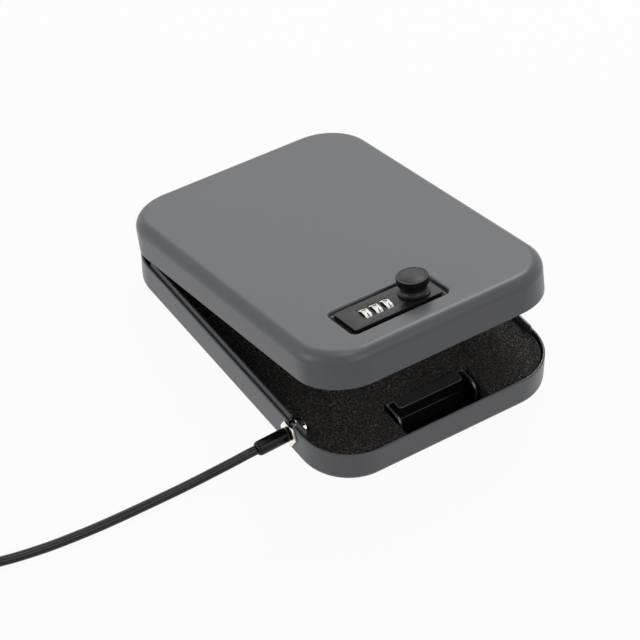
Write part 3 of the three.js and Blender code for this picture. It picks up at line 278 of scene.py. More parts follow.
def edges_at(bm: bmesh.types.BMesh, height: float) -> list[bmesh.types.BMEdge]:
    """The edges of a bmesh that lie at a height."""
    return [edge for edge in bm.edges if all_near(edge, 2, height)]


def sharp_edges(bm: bmesh.types.BMesh, degrees: float) -> list[bmesh.types.BMEdge]:
    """The edges of a bmesh whose two faces turn by more than an angle."""
    limit = math.radians(degrees)
    return [edge for edge in bm.edges if edge.is_manifold and edge.calc_face_angle(0) > limit]


def join_flat_faces(bm: bmesh.types.BMesh) -> None:
    """Joins faces of a bmesh that lie in one plane."""
    bmesh.ops.dissolve_limit(bm, angle_limit=math.radians(1), verts=bm.verts, edges=bm.edges)


def block_mesh(low: Point, high: Point) -> bmesh.types.BMesh:
    """A box between two corners.

    Args:
        low: The corner with the lowest coordinates.
        high: The corner with the highest.

    Returns:
        The box.
    """
    bm = bmesh.new()
    size = Vector(high) - Vector(low)
    middle = (Vector(high) + Vector(low)) / 2
    bmesh.ops.create_cube(bm, size=1, matrix=Matrix.Translation(middle) @ Matrix.Diagonal((*size, 1)))
    return bm


def rounded_block(low: Point, high: Point, corner: float, segments: int = 8) -> bmesh.types.BMesh:
    """A box with round upright corners.

    Args:
        low: The corner with the lowest coordinates.
        high: The corner with the highest.
        corner: The upright corners' radius.
        segments: How many faces a corner has.

    Returns:
        The box.
    """
    bm = block_mesh(low, high)
    bevel(bm, [edge for edge in bm.edges if upright(edge)], corner, segments)
    return bm


def cylinder(radius: float, depth: float, place: Matrix, segments: int) -> bmesh.types.BMesh:
    """A closed cylinder along z.

    Args:
        radius: Its radius.
        depth: Its length.
        place: The place of its middle.
        segments: How many sides it has.

    Returns:
        The cylinder.
    """
    bm = bmesh.new()
    bmesh.ops.create_cone(
        bm, cap_ends=True, segments=segments, radius1=radius, radius2=radius, depth=depth, matrix=place)
    return bm


def revolve(profile: Sequence[Pair], steps: int = 96) -> bmesh.types.BMesh:
    """A profile of radius and height turned about the z axis.

    Args:
        profile: Points from one end to the other. A solid's profile starts and ends on the axis,
            and a ring's comes back to its first point.
        steps: How many steps the turn has.

    Returns:
        The closed surface.
    """
    bm = bmesh.new()
    verts = [bm.verts.new((radius, 0, height)) for radius, height in profile]
    for first, second in zip(verts, verts[1:]):
        bm.edges.new((first, second))
    bmesh.ops.spin(
        bm, geom=list(bm.verts) + list(bm.edges), cent=(0, 0, 0), axis=(0, 0, 1), angle=2 * math.pi,
        steps=steps, use_merge=True)
    bmesh.ops.remove_doubles(bm, verts=bm.verts, dist=MERGE)
    return bm


def arc(centre: Pair, radius: float, start: float, end: float, steps: int = 6) -> list[Pair]:
    """Points round an arc, its angles in degrees."""
    angles = [math.radians(start + (end - start) * step / steps) for step in range(steps + 1)]
    return [(centre[0] + radius * math.cos(angle), centre[1] + radius * math.sin(angle)) for angle in angles]


def placed(bm: bmesh.types.BMesh, *turns: Matrix) -> bmesh.types.BMesh:
    """Moves a bmesh by matrices, the first one first."""
    for turn in turns:
        bmesh.ops.transform(bm, matrix=turn, verts=bm.verts)
    return bm


def refined(node: str, offset: float, segments: int = 3) -> bpy.types.Object:
    """A copy of a CAD node with its sharp edges rounded, which stands for the node.

    Args:
        node: The CAD node's name.
        offset: How far the rounding reaches from an edge.
        segments: How many faces round an edge.

    Returns:
        The finished piece.
    """
    bm = bmesh.new()
    bm.from_mesh(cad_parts[node].data)
    bmesh.ops.remove_doubles(bm, verts=bm.verts, dist=TOUCH)
    join_flat_faces(bm)
    bevel(bm, sharp_edges(bm, TURNED_SMOOTH), offset, segments)
    piece = new_mesh(bm, f"{node}_fine")
    weigh_normals(piece)
    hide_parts(node)
    return piece


# Shader nodes, groups and finishes


def feed(node: bpy.types.Node, inputs: dict[str | int, Any]) -> None:
    """Links sockets to a node's inputs, or sets the inputs' values.

    Args:
        node: The node.
        inputs: A socket or a value for each input, by the input's name or number.
    """
    for name, value in inputs.items():
        if isinstance(value, bpy.types.NodeSocket):
            node.id_data.links.new(value, node.inputs[name])
        else:
            node.inputs[name].default_value = value


def add_node(tree: bpy.types.NodeTree, kind: str, inputs: dict[str | int, Any],
             **settings: Any) -> bpy.types.Node:
    """Adds a shader node to a tree.

    Args:
        tree: The tree.
        kind: The node's type, without the part that all shader nodes share.
        inputs: What its inputs are fed with.
        settings: Its own properties, which are set first.

    Returns:
        The node.
    """
    node = tree.nodes.new(f"ShaderNode{kind}")
    for name, value in settings.items():
        setattr(node, name, value)
    feed(node, inputs)
    return node


def maths(tree: bpy.types.NodeTree, operation: str, first: Any, second: Any) -> bpy.types.NodeSocket:
    """Adds a sum of two sockets or values to a tree, and returns its result."""
    return add_node(tree, "Math", {0: first, 1: second}, operation=operation).outputs[0]


def object_place(tree: bpy.types.NodeTree) -> bpy.types.NodeSocket:
    """The socket that gives each point's place on its own piece."""
    return add_node(tree, "TexCoord", {}).outputs["Object"]


def new_group(name: str, inputs: dict[str, float], outputs: Iterable[str]) -> tuple[
        bpy.types.NodeTree, bpy.types.NodeOutputs, bpy.types.Node]:
    """An empty shader group with its sockets.

    Args:
        name: The group's name.
        inputs: Names and starting values of its number inputs.
        outputs: Names of its number outputs.

    Returns:
        The group, the sockets that give its inputs inside it, and the node that takes its outputs.
    """
    group = bpy.data.node_groups.new(name, "ShaderNodeTree")
    for label, value in inputs.items():
        group.interface.new_socket(label, in_out="INPUT", socket_type="NodeSocketFloat").default_value = value
    for label in outputs:
        group.interface.new_socket(label, in_out="OUTPUT", socket_type="NodeSocketFloat")
    return group, group.nodes.new("NodeGroupInput").outputs, group.nodes.new("NodeGroupOutput")


@cache
def grain_group() -> bpy.types.NodeTree:
    """Fine pebbled grain, and a slow mottling.

    Returns:
        The shader group.
    """
    group, given, sink = new_group(
        "pebbled grain", {"Scale": 2600.0, "Mottle Scale": 40.0}, ("Grain", "Mottle"))
    place = object_place(group)
    for scale, detail, output in (("Scale", 3, "Grain"), ("Mottle Scale", 4, "Mottle")):
        noise = add_node(group, "TexNoise", {"Vector": place, "Scale": given[scale], "Detail": detail})
        feed(sink, {output: noise.outputs["Fac"]})
    return group


@cache
def cell_group() -> bpy.types.NodeTree:
    """Open foam cells: dark pores, and a few walls that catch the light.

    Returns:
        The shader group.
    """
    group, given, sink = new_group(
        "foam cells", {
            "Scale": 900.0, "Fleck Scale": 520.0, "Fleck Rarity": 0.93, "Fleck Size": 0.26,
            "Mottle Scale": 1300.0, "Mottle Low": 0.47, "Mottle High": 0.7, "Mottle Share": 0.75,
        }, ("Height", "Fleck"))
    place = object_place(group)
    cells = add_node(group, "TexVoronoi", {"Vector": place, "Scale": given["Scale"]},
                     feature="DISTANCE_TO_EDGE")
    flecks = add_node(group, "TexVoronoi", {"Vector": place, "Scale": given["Fleck Scale"]}, feature="F1")
    pick = add_node(group, "TexWhiteNoise", {"Vector": flecks.outputs["Position"]})
    chosen = maths(group, "GREATER_THAN", pick.outputs["Value"], given["Fleck Rarity"])
    near = maths(group, "LESS_THAN", flecks.outputs["Distance"], given["Fleck Size"])
    mottle = add_node(group, "TexNoise", {"Vector": place, "Scale": given["Mottle Scale"], "Detail": 3})
    pores = add_node(group, "MapRange", {
        "Value": mottle.outputs["Fac"], "From Min": given["Mottle Low"], "From Max": given["Mottle High"],
        "To Max": given["Mottle Share"]})
    lit = maths(group, "MAXIMUM", maths(group, "MULTIPLY", chosen, near), pores.outputs["Result"])
    feed(sink, {"Height": cells.outputs["Distance"], "Fleck": lit})
    return group


@cache
def scratch_group() -> bpy.types.NodeTree:
    """Fine lines drawn along one axis, as on turned or brushed metal.

    Returns:
        The shader group.
    """
    group, given, sink = new_group("tool marks", {"Scale": 300.0, "Stretch": 18.0}, ("Mark",))
    spread = add_node(group, "CombineXYZ", {"X": 1, "Y": 1, "Z": given["Stretch"]})
    stretched = add_node(group, "VectorMath", {0: object_place(group), 1: spread.outputs["Vector"]},
                         operation="MULTIPLY")
    lines = add_node(group, "TexNoise", {
        "Vector": stretched.outputs["Vector"], "Scale": given["Scale"], "Detail": 2})
    feed(sink, {"Mark": lines.outputs["Fac"]})
    return group


@dataclass(frozen=True)
class Finish:
    """A surface finish: a Principled shader whose colour, roughness and bump vary over the surface."""

    name: str
    colour: Colour
    roughness: float
    metallic: float = 0.0
    coat: float = 0.0
    coat_roughness: float = 0.08
    specular: float = 0.5
    colour_swing: float = 0.08
    roughness_swing: float = 0.08
    least_roughness: float = 0.02
    bump: float = 0.1
    bump_height: float = 0.00002
    scale: float = 2600.0

    def effect(self) -> tuple[bpy.types.NodeTree, str, str]:
        """The shader group that the finish varies by, and its outputs for the colour and the height."""
        return grain_group(), "Mottle", "Grain"

    def material(self) -> bpy.types.Material:
        """Builds the material, unless it was built before.

        Returns:
            The material.
        """
        if self.name in bpy.data.materials:
            return bpy.data.materials[self.name]
        material = bpy.data.materials.new(self.name)
        material.use_nodes = True
        material.diffuse_color = (*self.colour, 1)
        tree = material.node_tree
        group, colour_socket, height_socket = self.effect()
        effect = add_node(tree, "Group", {"Scale": self.scale}, node_tree=group)
        low, high = ((*(min(1.0, part * (1 + swing)) for part in self.colour), 1)
                     for swing in (-self.colour_swing, self.colour_swing))
        tone = add_node(tree, "Mix", {"A": low, "B": high, "Factor": effect.outputs[colour_socket]},
                        data_type="RGBA")
        rough = add_node(tree, "MapRange", {
            "To Min": max(self.least_roughness, self.roughness - self.roughness_swing),
            "To Max": min(1.0, self.roughness + self.roughness_swing),
            "Value": effect.outputs[height_socket]})
        relief = add_node(tree, "Bump", {
            "Strength": self.bump, "Distance": self.bump_height, "Height": effect.outputs[height_socket]})
        feed(tree.nodes["Principled BSDF"], {
            "Base Color": tone.outputs["Result"], "Roughness": rough.outputs["Result"],
            "Normal": relief.outputs["Normal"], "Metallic": self.metallic, "Coat Weight": self.coat,
            "Coat Roughness": self.coat_roughness, "Specular IOR Level": self.specular})
        return material


@dataclass(frozen=True)
class FoamFinish(Finish):
    """Open-cell foam, with pores and light flecks."""

    def effect(self) -> tuple[bpy.types.NodeTree, str, str]:
        """The foam's shader group, and its outputs for the colour and the height."""
        return cell_group(), "Fleck", "Height"


@dataclass(frozen=True)
class MetalFinish(Finish):
    """Bare or plated metal with fine tool marks."""

    def effect(self) -> tuple[bpy.types.NodeTree, str, str]:
        """The metal's shader group, and its output for the colour and the height."""
        return scratch_group(), "Mark", "Mark"


POWDER_COAT = Finish("powder coat", (0.13, 0.135, 0.145), 0.34, bump=0.35, colour_swing=0.04)
FOAM = FoamFinish("open-cell foam", (0.17, 0.16, 0.146), 0.9, specular=0.2, colour_swing=0.9, bump=1.0,
                  bump_height=0.0006, scale=900.0)
BLACK_LACQUER = Finish("black lacquer", (0.07, 0.071, 0.074), 0.25, coat=0.6, specular=0.8, bump=0.12)
# Satin black of the knob's grip, and painted shade under the keeper's shelf.
SATIN_BLACK_AND_SHADE = Finish("satin black", (0.007, 0.007, 0.0075), 0.3, specular=0.28, bump=0.12)
# Black of the index dots, and painted shade on the pocket, the lips' crease, the wheels' flanks and the
# plate's sides.
DEEP_BLACK_AND_SHADE = Finish("deep black and painted shade", (0.004, 0.004, 0.004), 0.6, specular=0.2, bump=0.05)
PLATE_COAT = Finish("plate coat", (0.012, 0.0125, 0.013), 0.34, specular=0.32, bump=0.1)
KNOB_TOP = Finish("knob cap", (0.012, 0.0125, 0.013), 0.4, specular=0.32, bump=0.12)
# Painted shade: a darker copy of the cap's finish, for its side.
KNOB_SIDE_SHADE = Finish("knob side painted shade", (0.004, 0.004, 0.004), 0.4, specular=0.12, bump=0.05)
DIGIT_PAINT = Finish("digit paint", (0.006, 0.006, 0.006), 0.5, bump=0.05)
BOOT_RUBBER = Finish("boot rubber", (0.006, 0.006, 0.006), 0.16, specular=0.2, roughness_swing=0.002,
                     bump=0.02)
CABLE_VINYL = Finish("cable vinyl", (0.006, 0.006, 0.0065), 0.2, specular=0.3, roughness_swing=0.002,
                     bump=0.01)
CHROME = MetalFinish("bright chrome", (0.92, 0.88, 0.8), 0.1, metallic=1.0, roughness_swing=0.02, bump=0.05)
NICKEL = MetalFinish("bright nickel", (0.9, 0.87, 0.81), 0.38, metallic=0.3, bump=0.1)
ZINC = MetalFinish("zinc plate", (0.48, 0.49, 0.5), 0.38, metallic=0.95, roughness_swing=0.04, bump=0.08)
# Painted shade: brass darkened so that the gaps beside the wheels read black.
SHADE_DARK_BRASS = MetalFinish("brass darkened as painted shade", (0.012, 0.01, 0.008), 0.45, metallic=0.6, bump=0.15)


def tint(piece: bpy.types.Object, finish: Finish, chosen: FaceTest) -> None:
    """Gives some faces of a finished piece another finish.

    Args:
        piece: The piece, which already has its main finish.
        finish: The other finish.
        chosen: Whether a face takes it.
    """
    piece.data.materials.append(finish.material())
    index = len(piece.data.materials) - 1
    for face in piece.data.polygons:
        if chosen(face):
            face.material_index = index


def off_the_top(face: bpy.types.MeshPolygon) -> bool:
    """Whether a face of a lock's piece looks another way than the lid's top, which takes painted shade."""
    return face.normal.dot(CASE.up) < LOCK.top_share


def dress(piece: bpy.types.Object, finish: Finish,
          body: Body | None = None) -> None:
    """Gives a piece its finish, and a new piece its body.

    Args:
        piece: The piece or CAD node.
        finish: Its surface finish.
        body: The body that a new piece rides on.
    """
    piece.data.materials.clear()
    piece.data.materials.append(finish.material())
    if body:
        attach(piece, body.value)
    LOG.info("dressed %s in %s", piece.name, finish.name)


# The case's two shells


def case_block(low: float, high: float, inset: float = 0.0) -> bmesh.types.BMesh:
    """The case's rounded outline between two heights.

    Args:
        low: The lower height.
        high: The upper height.
        inset: How far the outline is drawn in.

    Returns:
        The closed block.
    """
    half_x, half_y = CASE.width / 2 - inset, CASE.length / 2 - inset
    corner = CASE.corner - inset
    return rounded_block((-half_x, -half_y, low), (half_x, half_y, high), corner, CASE.corner_steps)


@dataclass
class Lid:
    """The lid's pressed shell, with the sunk pocket that the lock's plate lies in."""

    edge: float = 0.0076
    rim: float = CASE.base_height + SEAT
    rim_bend: float = 0.00035
    middle: Pair = (-0.0174, LOCK.spindle_y)
    pocket: Pair = (0.0685, 0.0312)
    pocket_corner: float = 0.005
    sink: float = 0.003
    slope: float = 0.0024
    wheel_slot: tuple[Pair, Pair] = ((-0.03575, -0.0936), (-0.01265, -0.0782))
    relief: Pair = (0.0055, 0.0017)
    # The pocket's faces this far below the top, and nearer than the corner below, take painted shade in
    # black.
    black_below: float = 0.0012
    black_corner: Pair = (0.0122, -0.0736)

    @property
    def floor(self) -> float:
        """Height of the pocket's floor on the closed lid."""
        return CASE.lid_top - self.sink

    def pocket_tool(self) -> bmesh.types.BMesh:
        """The solid that sinks the pocket into the block.

        Returns:
            The tool.
        """
        half_x, half_y = (side / 2 - self.slope / 2 for side in self.pocket)
        x, y = self.middle
        return rounded_block(
            (x - half_x, y - half_y, self.floor), (x + half_x, y + half_y, CASE.lid_top + CASE.sheet),
            self.pocket_corner - self.slope / 2, 8)

    def round_pocket(self, bm: bmesh.types.BMesh) -> None:
        """Rounds the pocket's rim and the bottom of its wall.

        Args:
            bm: The lid's block, with the pocket sunk into it.
        """
        x, y = self.middle
        reach_x, reach_y = (side / 2 + self.slope for side in self.pocket)

        def of_pocket(edge: bmesh.types.BMEdge) -> bool:
            """Whether an edge lies at the pocket."""
            return all(abs(vert.co.x - x) < reach_x and abs(vert.co.y - y) < reach_y for vert in edge.verts)

        for height in (CASE.lid_top, self.floor):
            bevel(bm, filter(of_pocket, edges_at(bm, height)), self.sink / 2 - 1e-5, 7)

    def build(self) -> bpy.types.Object:
        """Builds the shell closed, and opens it.

        Returns:
            The shell.
        """
        bm = case_block(self.rim, CASE.lid_top)
        bevel(bm, edges_at(bm, CASE.lid_top), self.edge, 9)
        shell = new_mesh(bm, "lid_shell_fine")
        carve(shell, self.pocket_tool())
        with edited(shell) as bm:
            self.round_pocket(bm)
            under = [face for face in bm.faces if all(all_near(edge, 2, self.rim) for edge in face.edges)]
            bmesh.ops.delete(bm, geom=under, context="FACES")
        wall = shell.modifiers.new("wall", "SOLIDIFY")
        wall.thickness, wall.offset, wall.use_even_offset = CASE.sheet, -1, True
        settle(shell)
        with edited(shell) as bm:
            corners = set(sharp_edges(bm, SQUARE_CORNER))
            bevel(bm, [edge for edge in edges_at(bm, self.rim) if edge in corners], self.rim_bend, 3)
        self.cut_openings(shell)
        shade(shell, SHELL_SMOOTH)
        weigh_normals(shell)
        shell.data.transform(CASE.opening)
        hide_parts("lid_shell")
        return shell

    def cut_openings(self, shell: bpy.types.Object) -> None:
        """Cuts the wheels' slot, the spindle's hole and the room over the hinges.

        Args:
            shell: The closed lid's shell.
        """
        below, above = CASE.lid_top - 3 * self.sink, CASE.lid_top + self.sink
        front_left, back_right = self.wheel_slot
        carve(shell, block_mesh((*front_left, below), (*back_right, above)))
        spindle = Matrix.Translation((0, LOCK.spindle_y, (above + below) / 2))
        carve(shell, cylinder(LOCK.spindle_hole, above - below, spindle, 32))
        depth, rise = self.relief
        half_x, rear = CASE.width / 2, CASE.length / 2
        carve(shell, block_mesh(
            (-half_x, rear - depth, self.rim - rise), (half_x, rear + depth, CASE.base_height + rise)))

    def dress(self) -> None:
        """Builds the shell, coats it and paints shade in black onto the pocket's low walls and floor in front
        of and left of the plate.
        """
        shell = self.build()
        dress(shell, POWDER_COAT, Body.LID)
        closed = CASE.opening.inverted()
        left, front = (middle - side / 2 for middle, side in zip(self.middle, self.pocket))
        right, rear = self.black_corner

        def in_pocket(face: bpy.types.MeshPolygon) -> bool:
            """Whether a face lies low in the pocket, in front of and left of the plate's far corner, where
            shade is painted.

            Args:
                face: A face of the shell.

            Returns:
                True where it does.
            """
            at = closed @ face.center
            inside = left < at.x < right and front < at.y < rear
            return inside and self.floor - SEAT < at.z < CASE.lid_top - self.black_below

        # Painted shade: black on the pocket's faces where the plate's shadow falls.
        tint(shell, DEEP_BLACK_AND_SHADE, in_pocket)


@dataclass
class Base:
    """The base's pressed shell, with the lips along its sides that stand inside the lid."""

    edge: float = 0.004
    rim_bend: float = 0.001
    lip_setback: float = 0.0021
    lip_height: float = 0.0037
    lip_end: float = 0.0024
    lip_top_round: float = 0.0004
    fillet: float = 0.0007
    notch_radius: float = 0.0033
    # The band beside the lips that takes painted shade: where it starts and ends in from the outer wall, and
    # how high above the rim it reaches.
    seam: Point = (0.0008, 0.0020, 0.0008)

    def lip(self, side: int) -> bpy.types.Object:
        """One long side's ledge and lip, joined and rounded.

        Args:
            side: -1 for the left side, 1 for the right.

        Returns:
            The closed solid.
        """
        top = CASE.base_height + self.lip_height
        low = CASE.base_height - CASE.sheet
        outer = CASE.width / 2 - self.lip_setback
        inner = outer - CASE.sheet
        ledge_end = CASE.width / 2 - CASE.sheet + SEAT / 2

        def wall(far: float, height: float) -> bmesh.types.BMesh:
            """A block along the side, from the lip's inner face out."""
            left, right = sorted((side * inner, side * far))
            return block_mesh((left, -CASE.straight, low), (right, CASE.straight, height))

        bm = wall(outer, top)
        ends = [edge for edge in edges_at(bm, top) if all_near(edge, 1, edge.verts[0].co.y)]
        bevel(bm, ends, self.lip_end, 8)
        lip = new_mesh(bm, "lip_tool")
        carve(lip, wall(ledge_end, CASE.base_height), "UNION")
        if side < 0:
            self.cut_notch(lip)
        with edited(lip) as bm:
            join_flat_faces(bm)
            crease = [edge for edge in edges_at(bm, CASE.base_height) if all_near(edge, 0, side * outer)]
            bevel(bm, crease, self.fillet, 5)
            lowest = top - self.lip_end - TOUCH
            rims = [edge for edge in sharp_edges(bm, SQUARE_CORNER)
                    if all(vert.co.z > lowest for vert in edge.verts)]
            bevel(bm, rims, self.lip_top_round, 4)
        return lip

    def cut_notch(self, shell: bpy.types.Object) -> None:
        """Cuts the round-bottomed slot in the left wall and lip that the cable's stud sits in.

        Args:
            shell: The shell, or its left lip.
        """
        outside, inside = -CASE.width / 2 - self.edge, self.edge * 3 - CASE.width / 2
        bm = cylinder(self.notch_radius, inside - outside, Matrix.Rotation(QUARTER, 4, "Y"), 48)
        upper = [vert for vert in bm.verts if vert.co.z > -self.notch_radius / 100]
        bmesh.ops.translate(bm, vec=(0, 0, CASE.base_height), verts=upper)
        bmesh.ops.translate(bm, vec=((inside + outside) / 2, *CASE.cable_axis), verts=bm.verts)
        carve(shell, bm)

    def build(self) -> bpy.types.Object:
        """Builds the shell.

        Returns:
            The shell.
        """
        bm = case_block(0, CASE.base_height)
        bevel(bm, edges_at(bm, 0), self.edge, 7)
        bevel(bm, edges_at(bm, CASE.base_height), self.rim_bend, 5)
        shell = new_mesh(bm, "base_shell_fine")
        hollow = case_block(CASE.sheet, CASE.base_height + self.edge, CASE.sheet)
        bevel(hollow, edges_at(hollow, CASE.sheet), self.edge - CASE.sheet, 6)
        carve(shell, hollow)
        self.cut_notch(shell)
        for side in (-1, 1):
            carve(shell, self.lip(side), "UNION")
        shade(shell, SHELL_SMOOTH)
        weigh_normals(shell)
        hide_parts("base_shell")
        return shell

    def dress(self) -> None:
        """Builds the shell, coats it and paints shade in black into the crease along the foot of its lips."""
        shell = self.build()
        dress(shell, POWDER_COAT, Body.BASE)
        near, far, rise = self.seam

        def in_seam(face: bpy.types.MeshPolygon) -> bool:
            """Whether a face lies in the crease between rim and lip, where shade is painted.

            Args:
                face: A face of the shell.

            Returns:
                True where it does.
            """
            at = face.center
            aside, above = CASE.width / 2 - abs(at.x), at.z - CASE.base_height
            return abs(at.y) < CASE.straight and near < aside < far and -SEAT < above < rise

        # Painted shade: black in the crease at the lips' foot.
        tint(shell, DEEP_BLACK_AND_SHADE, in_seam)


# Foam linings and the keeper


@dataclass
class Foams:
    """The base's thick pad and the lid's sheet."""

    base_top: float = 0.019
    side_gap: float = 0.0022
    crown: float = 0.0012
    foot: float = 0.0022
    keeper_room: Pair = (0.0293, -0.0897)
    hinge_room: Point = (0.0056, 0.0506, 0.1048)
    gland_room: tuple[Point, Pair] = ((-CASE.width, -0.0827, 0.0055), (-0.0731, -0.0663))
    lid_size: tuple[float, float, float, float] = (0.0746, -0.066, 0.09, 0.0416)
    lid_thickness: float = 0.005
    lid_corner: float = 0.006
    voxel: float = 0.0013
    swing: float = 0.0007
    waves: tuple[tuple[str, float, float], ...] = (
        ("slow foam waves", 0.02, 1.0), ("quick foam waves", 0.0035, 0.9))
    wave_middle: float = 0.55
    fill: float = 0.9

    def roughen(self, pad: bpy.types.Object, swing: float) -> None:
        """Turns a pad's solid into evenly meshed foam with an uneven surface.

        Args:
            pad: The pad.
            swing: How far its surface moves at most.
        """
        remesh = pad.modifiers.new("remesh", "REMESH")
        remesh.mode = "VOXEL"
        remesh.voxel_size = self.voxel
        for name, size, share in self.waves:
            texture = bpy.data.textures.get(name) or bpy.data.textures.new(name, "CLOUDS")
            texture.noise_scale = size
            wave = pad.modifiers.new(name, "DISPLACE")
            wave.texture = texture
            wave.texture_coords = "LOCAL"
            wave.strength = swing * share
            wave.mid_level = self.wave_middle
        settle(pad)
        shade(pad, FOAM_SMOOTH)

    def base_pad(self) -> bpy.types.Object:
        """The base's pad, cut out round the keeper, the hinges and the cable's nut.

        Returns:
            The pad.
        """
        low = CASE.sheet + SEAT
        bm = case_block(low, self.base_top, self.side_gap)
        bevel(bm, edges_at(bm, self.base_top), self.crown, 3)
        bevel(bm, edges_at(bm, low), self.foot, 3)
        pad = new_mesh(bm, "base_foam_pad")
        high = 2 * self.base_top
        half, back = self.keeper_room
        near, far, front = self.hinge_room
        gland_low, gland_far = self.gland_room
        for corner, opposite in (
                ((-half, -CASE.length, -high), (half, back, high)),
                ((near, front, -high), (far, CASE.length, high)),
                ((-far, front, -high), (-near, CASE.length, high)),
                (gland_low, (*gland_far, high))):
            carve(pad, block_mesh(corner, opposite))
        self.roughen(pad, self.swing)
        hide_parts("base_foam")
        return pad

    def lid_pad(self) -> bpy.types.Object:
        """The lid's sheet of foam, under its top.

        Returns:
            The pad.
        """
        half_x, front, rear, top = self.lid_size
        low = top - self.lid_thickness
        bm = rounded_block((-half_x, front, low), (half_x, rear, top), self.lid_corner, 5)
        bevel(bm, edges_at(bm, low), self.crown, 3)
        pad = new_mesh(bm, "lid_foam_pad")
        self.roughen(pad, self.swing / 2)
        pad.data.transform(CASE.opening)
        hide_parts("lid_foam")
        return pad

    def dress(self) -> None:
        """Builds both pads and gives them their foam."""
        for pad, body in ((self.base_pad(), Body.BASE), (self.lid_pad(), Body.LID)):
            dress(pad, FOAM, body)


@dataclass
class Keeper:
    """The folded bracket that the latch hooks under."""

    bend: float = 0.00055
    flat_area: float = 0.00001
    shelf_low: float = 0.0195

    def dress(self) -> None:
        """Rounds the bracket's edges and coats it, with painted shade on its flat faces under the shelf."""
        keeper = refined("latch_keeper", self.bend, 4)
        dress(keeper, BLACK_LACQUER, Body.BASE)
        # Painted shade: a darker black on the flat faces below the shelf.
        tint(keeper, SATIN_BLACK_AND_SHADE, lambda face: face.area > self.flat_area and face.center.z < self.shelf_low)


# The lock on the lid


@dataclass
class Wheels:
    """Three number wheels, each with ten digits and a groove between one digit and the next."""

    axle: Pair = (LOCK.wheels_y, 0.0363)
    radius: float = 0.0078
    width: float = 0.0044
    bore: float = 0.0023
    rim: float = 0.0003
    flank_share: float = 0.9
    digits: int = 10
    steps_per_digit: int = 16
    groove_depth: float = 0.00045
    groove_share: float = 0.16
    turn_share: float = -0.25
    digit_height: float = 0.0027
    digit_relief: float = 0.00004
    digit_share: float = 0.7
    stroke_share: float = 0.07
    strip: float = 0.0003

    @property
    def step(self) -> float:
        """The angle from one digit to the next."""
        return 2 * math.pi / self.digits

    def place(self, index: int) -> Matrix:
        """The place of a wheel's middle, opened with the lid, with the first digit turned to its row."""
        there = Matrix.Translation((LOCK.wheels[index], *self.axle))
        return CASE.opening @ there @ Matrix.Rotation(self.turn_share * self.step, 4, "X")

    def wheel(self, index: int) -> bpy.types.Object:
        """One wheel, turned about its bore and grooved.

        Args:
            index: Which wheel it is, from 0.

        Returns:
            The wheel.
        """
        half, tread = self.width / 2, self.radius - self.rim
        profile = [(self.bore, -half), (tread, -half), *arc((tread, self.rim - half), self.rim, -90, 0, 4),
                   *arc((tread, half - self.rim), self.rim, 0, 90, 4), (self.bore, half), (self.bore, -half)]
        bm = placed(revolve(profile, self.digits * self.steps_per_digit), Matrix.Rotation(QUARTER, 4, "Y"))
        for vert in bm.verts:
            reach = math.hypot(vert.co.y, vert.co.z)
            turns = math.atan2(vert.co.z, vert.co.y) / self.step
            beside = abs(turns - round(turns)) / self.groove_share
            if reach >= tread - self.rim and beside < 1:
                sink = 1 - self.groove_depth / reach * math.cos(beside * QUARTER)
                vert.co.y, vert.co.z = vert.co.y * sink, vert.co.z * sink
        piece = new_mesh(placed(bm, self.place(index)), f"wheel_{index + 1}_fine", TURNED_SMOOTH)
        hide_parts(f"number_wheel_{index + 1}")
        return piece

    def number(self, digit: int) -> bmesh.types.BMesh:
        """One digit, wrapped round the top of a wheel that turns about the x axis.

        Args:
            digit: The digit.

        Returns:
            Its raised print.
        """
        curve = bpy.data.curves.new("digit", "FONT")
        curve.body = str(digit)
        curve.size = self.digit_height / self.digit_share
        curve.align_x, curve.align_y = "CENTER", "CENTER"
        curve.extrude = self.digit_relief
        curve.offset = self.digit_height * self.stroke_share
        text = bpy.data.objects.new("digit", curve)
        bpy.context.scene.collection.objects.link(text)
        mesh = bpy.data.meshes.new_from_object(text.evaluated_get(bpy.context.evaluated_depsgraph_get()))
        bpy.data.objects.remove(text)
        bm = bmesh.new()
        bm.from_mesh(mesh)
        bpy.data.meshes.remove(mesh)
        lines = math.ceil(self.digit_height / self.strip)
        for line in range(-lines, lines):
            bmesh.ops.bisect_plane(
                bm, geom=[*bm.verts, *bm.edges, *bm.faces], dist=MERGE,
                plane_co=(0, (line + 0.5) * self.strip / 2, 0), plane_no=(0, 1, 0))
        for vert in bm.verts:
            angle, reach = vert.co.y / self.radius, self.radius + vert.co.z
            vert.co.y, vert.co.z = reach * math.sin(angle), reach * math.cos(angle)
        return bm

    def print_digits(self, index: int, body: Body) -> None:
        """Prints the digits round one wheel, as one piece.

        Args:
            index: Which wheel it is, from 0.
            body: The wheel's body.
        """
        joined = bmesh.new()
        for digit in range(self.digits):
            number = placed(self.number(digit), Matrix.Rotation(digit * self.step, 4, "X"), self.place(index))
            mesh = bpy.data.meshes.new("digit")
            number.to_mesh(mesh)
            number.free()
            joined.from_mesh(mesh)
            bpy.data.meshes.remove(mesh)
        dress(new_mesh(joined, f"wheel_digits_{index + 1}"), DIGIT_PAINT, body)

    def dress(self) -> None:
        """Finishes the wheels, paints shade in black on their flanks and prints their digits."""
        for index, body in enumerate((Body.WHEEL_1, Body.WHEEL_2, Body.WHEEL_3)):
            wheel = self.wheel(index)
            dress(wheel, NICKEL, body)
            # Painted shade: black on each wheel's flat sides.
            tint(wheel, DEEP_BLACK_AND_SHADE, lambda face: abs(face.normal.x) > self.flank_share)
            self.print_digits(index, body)


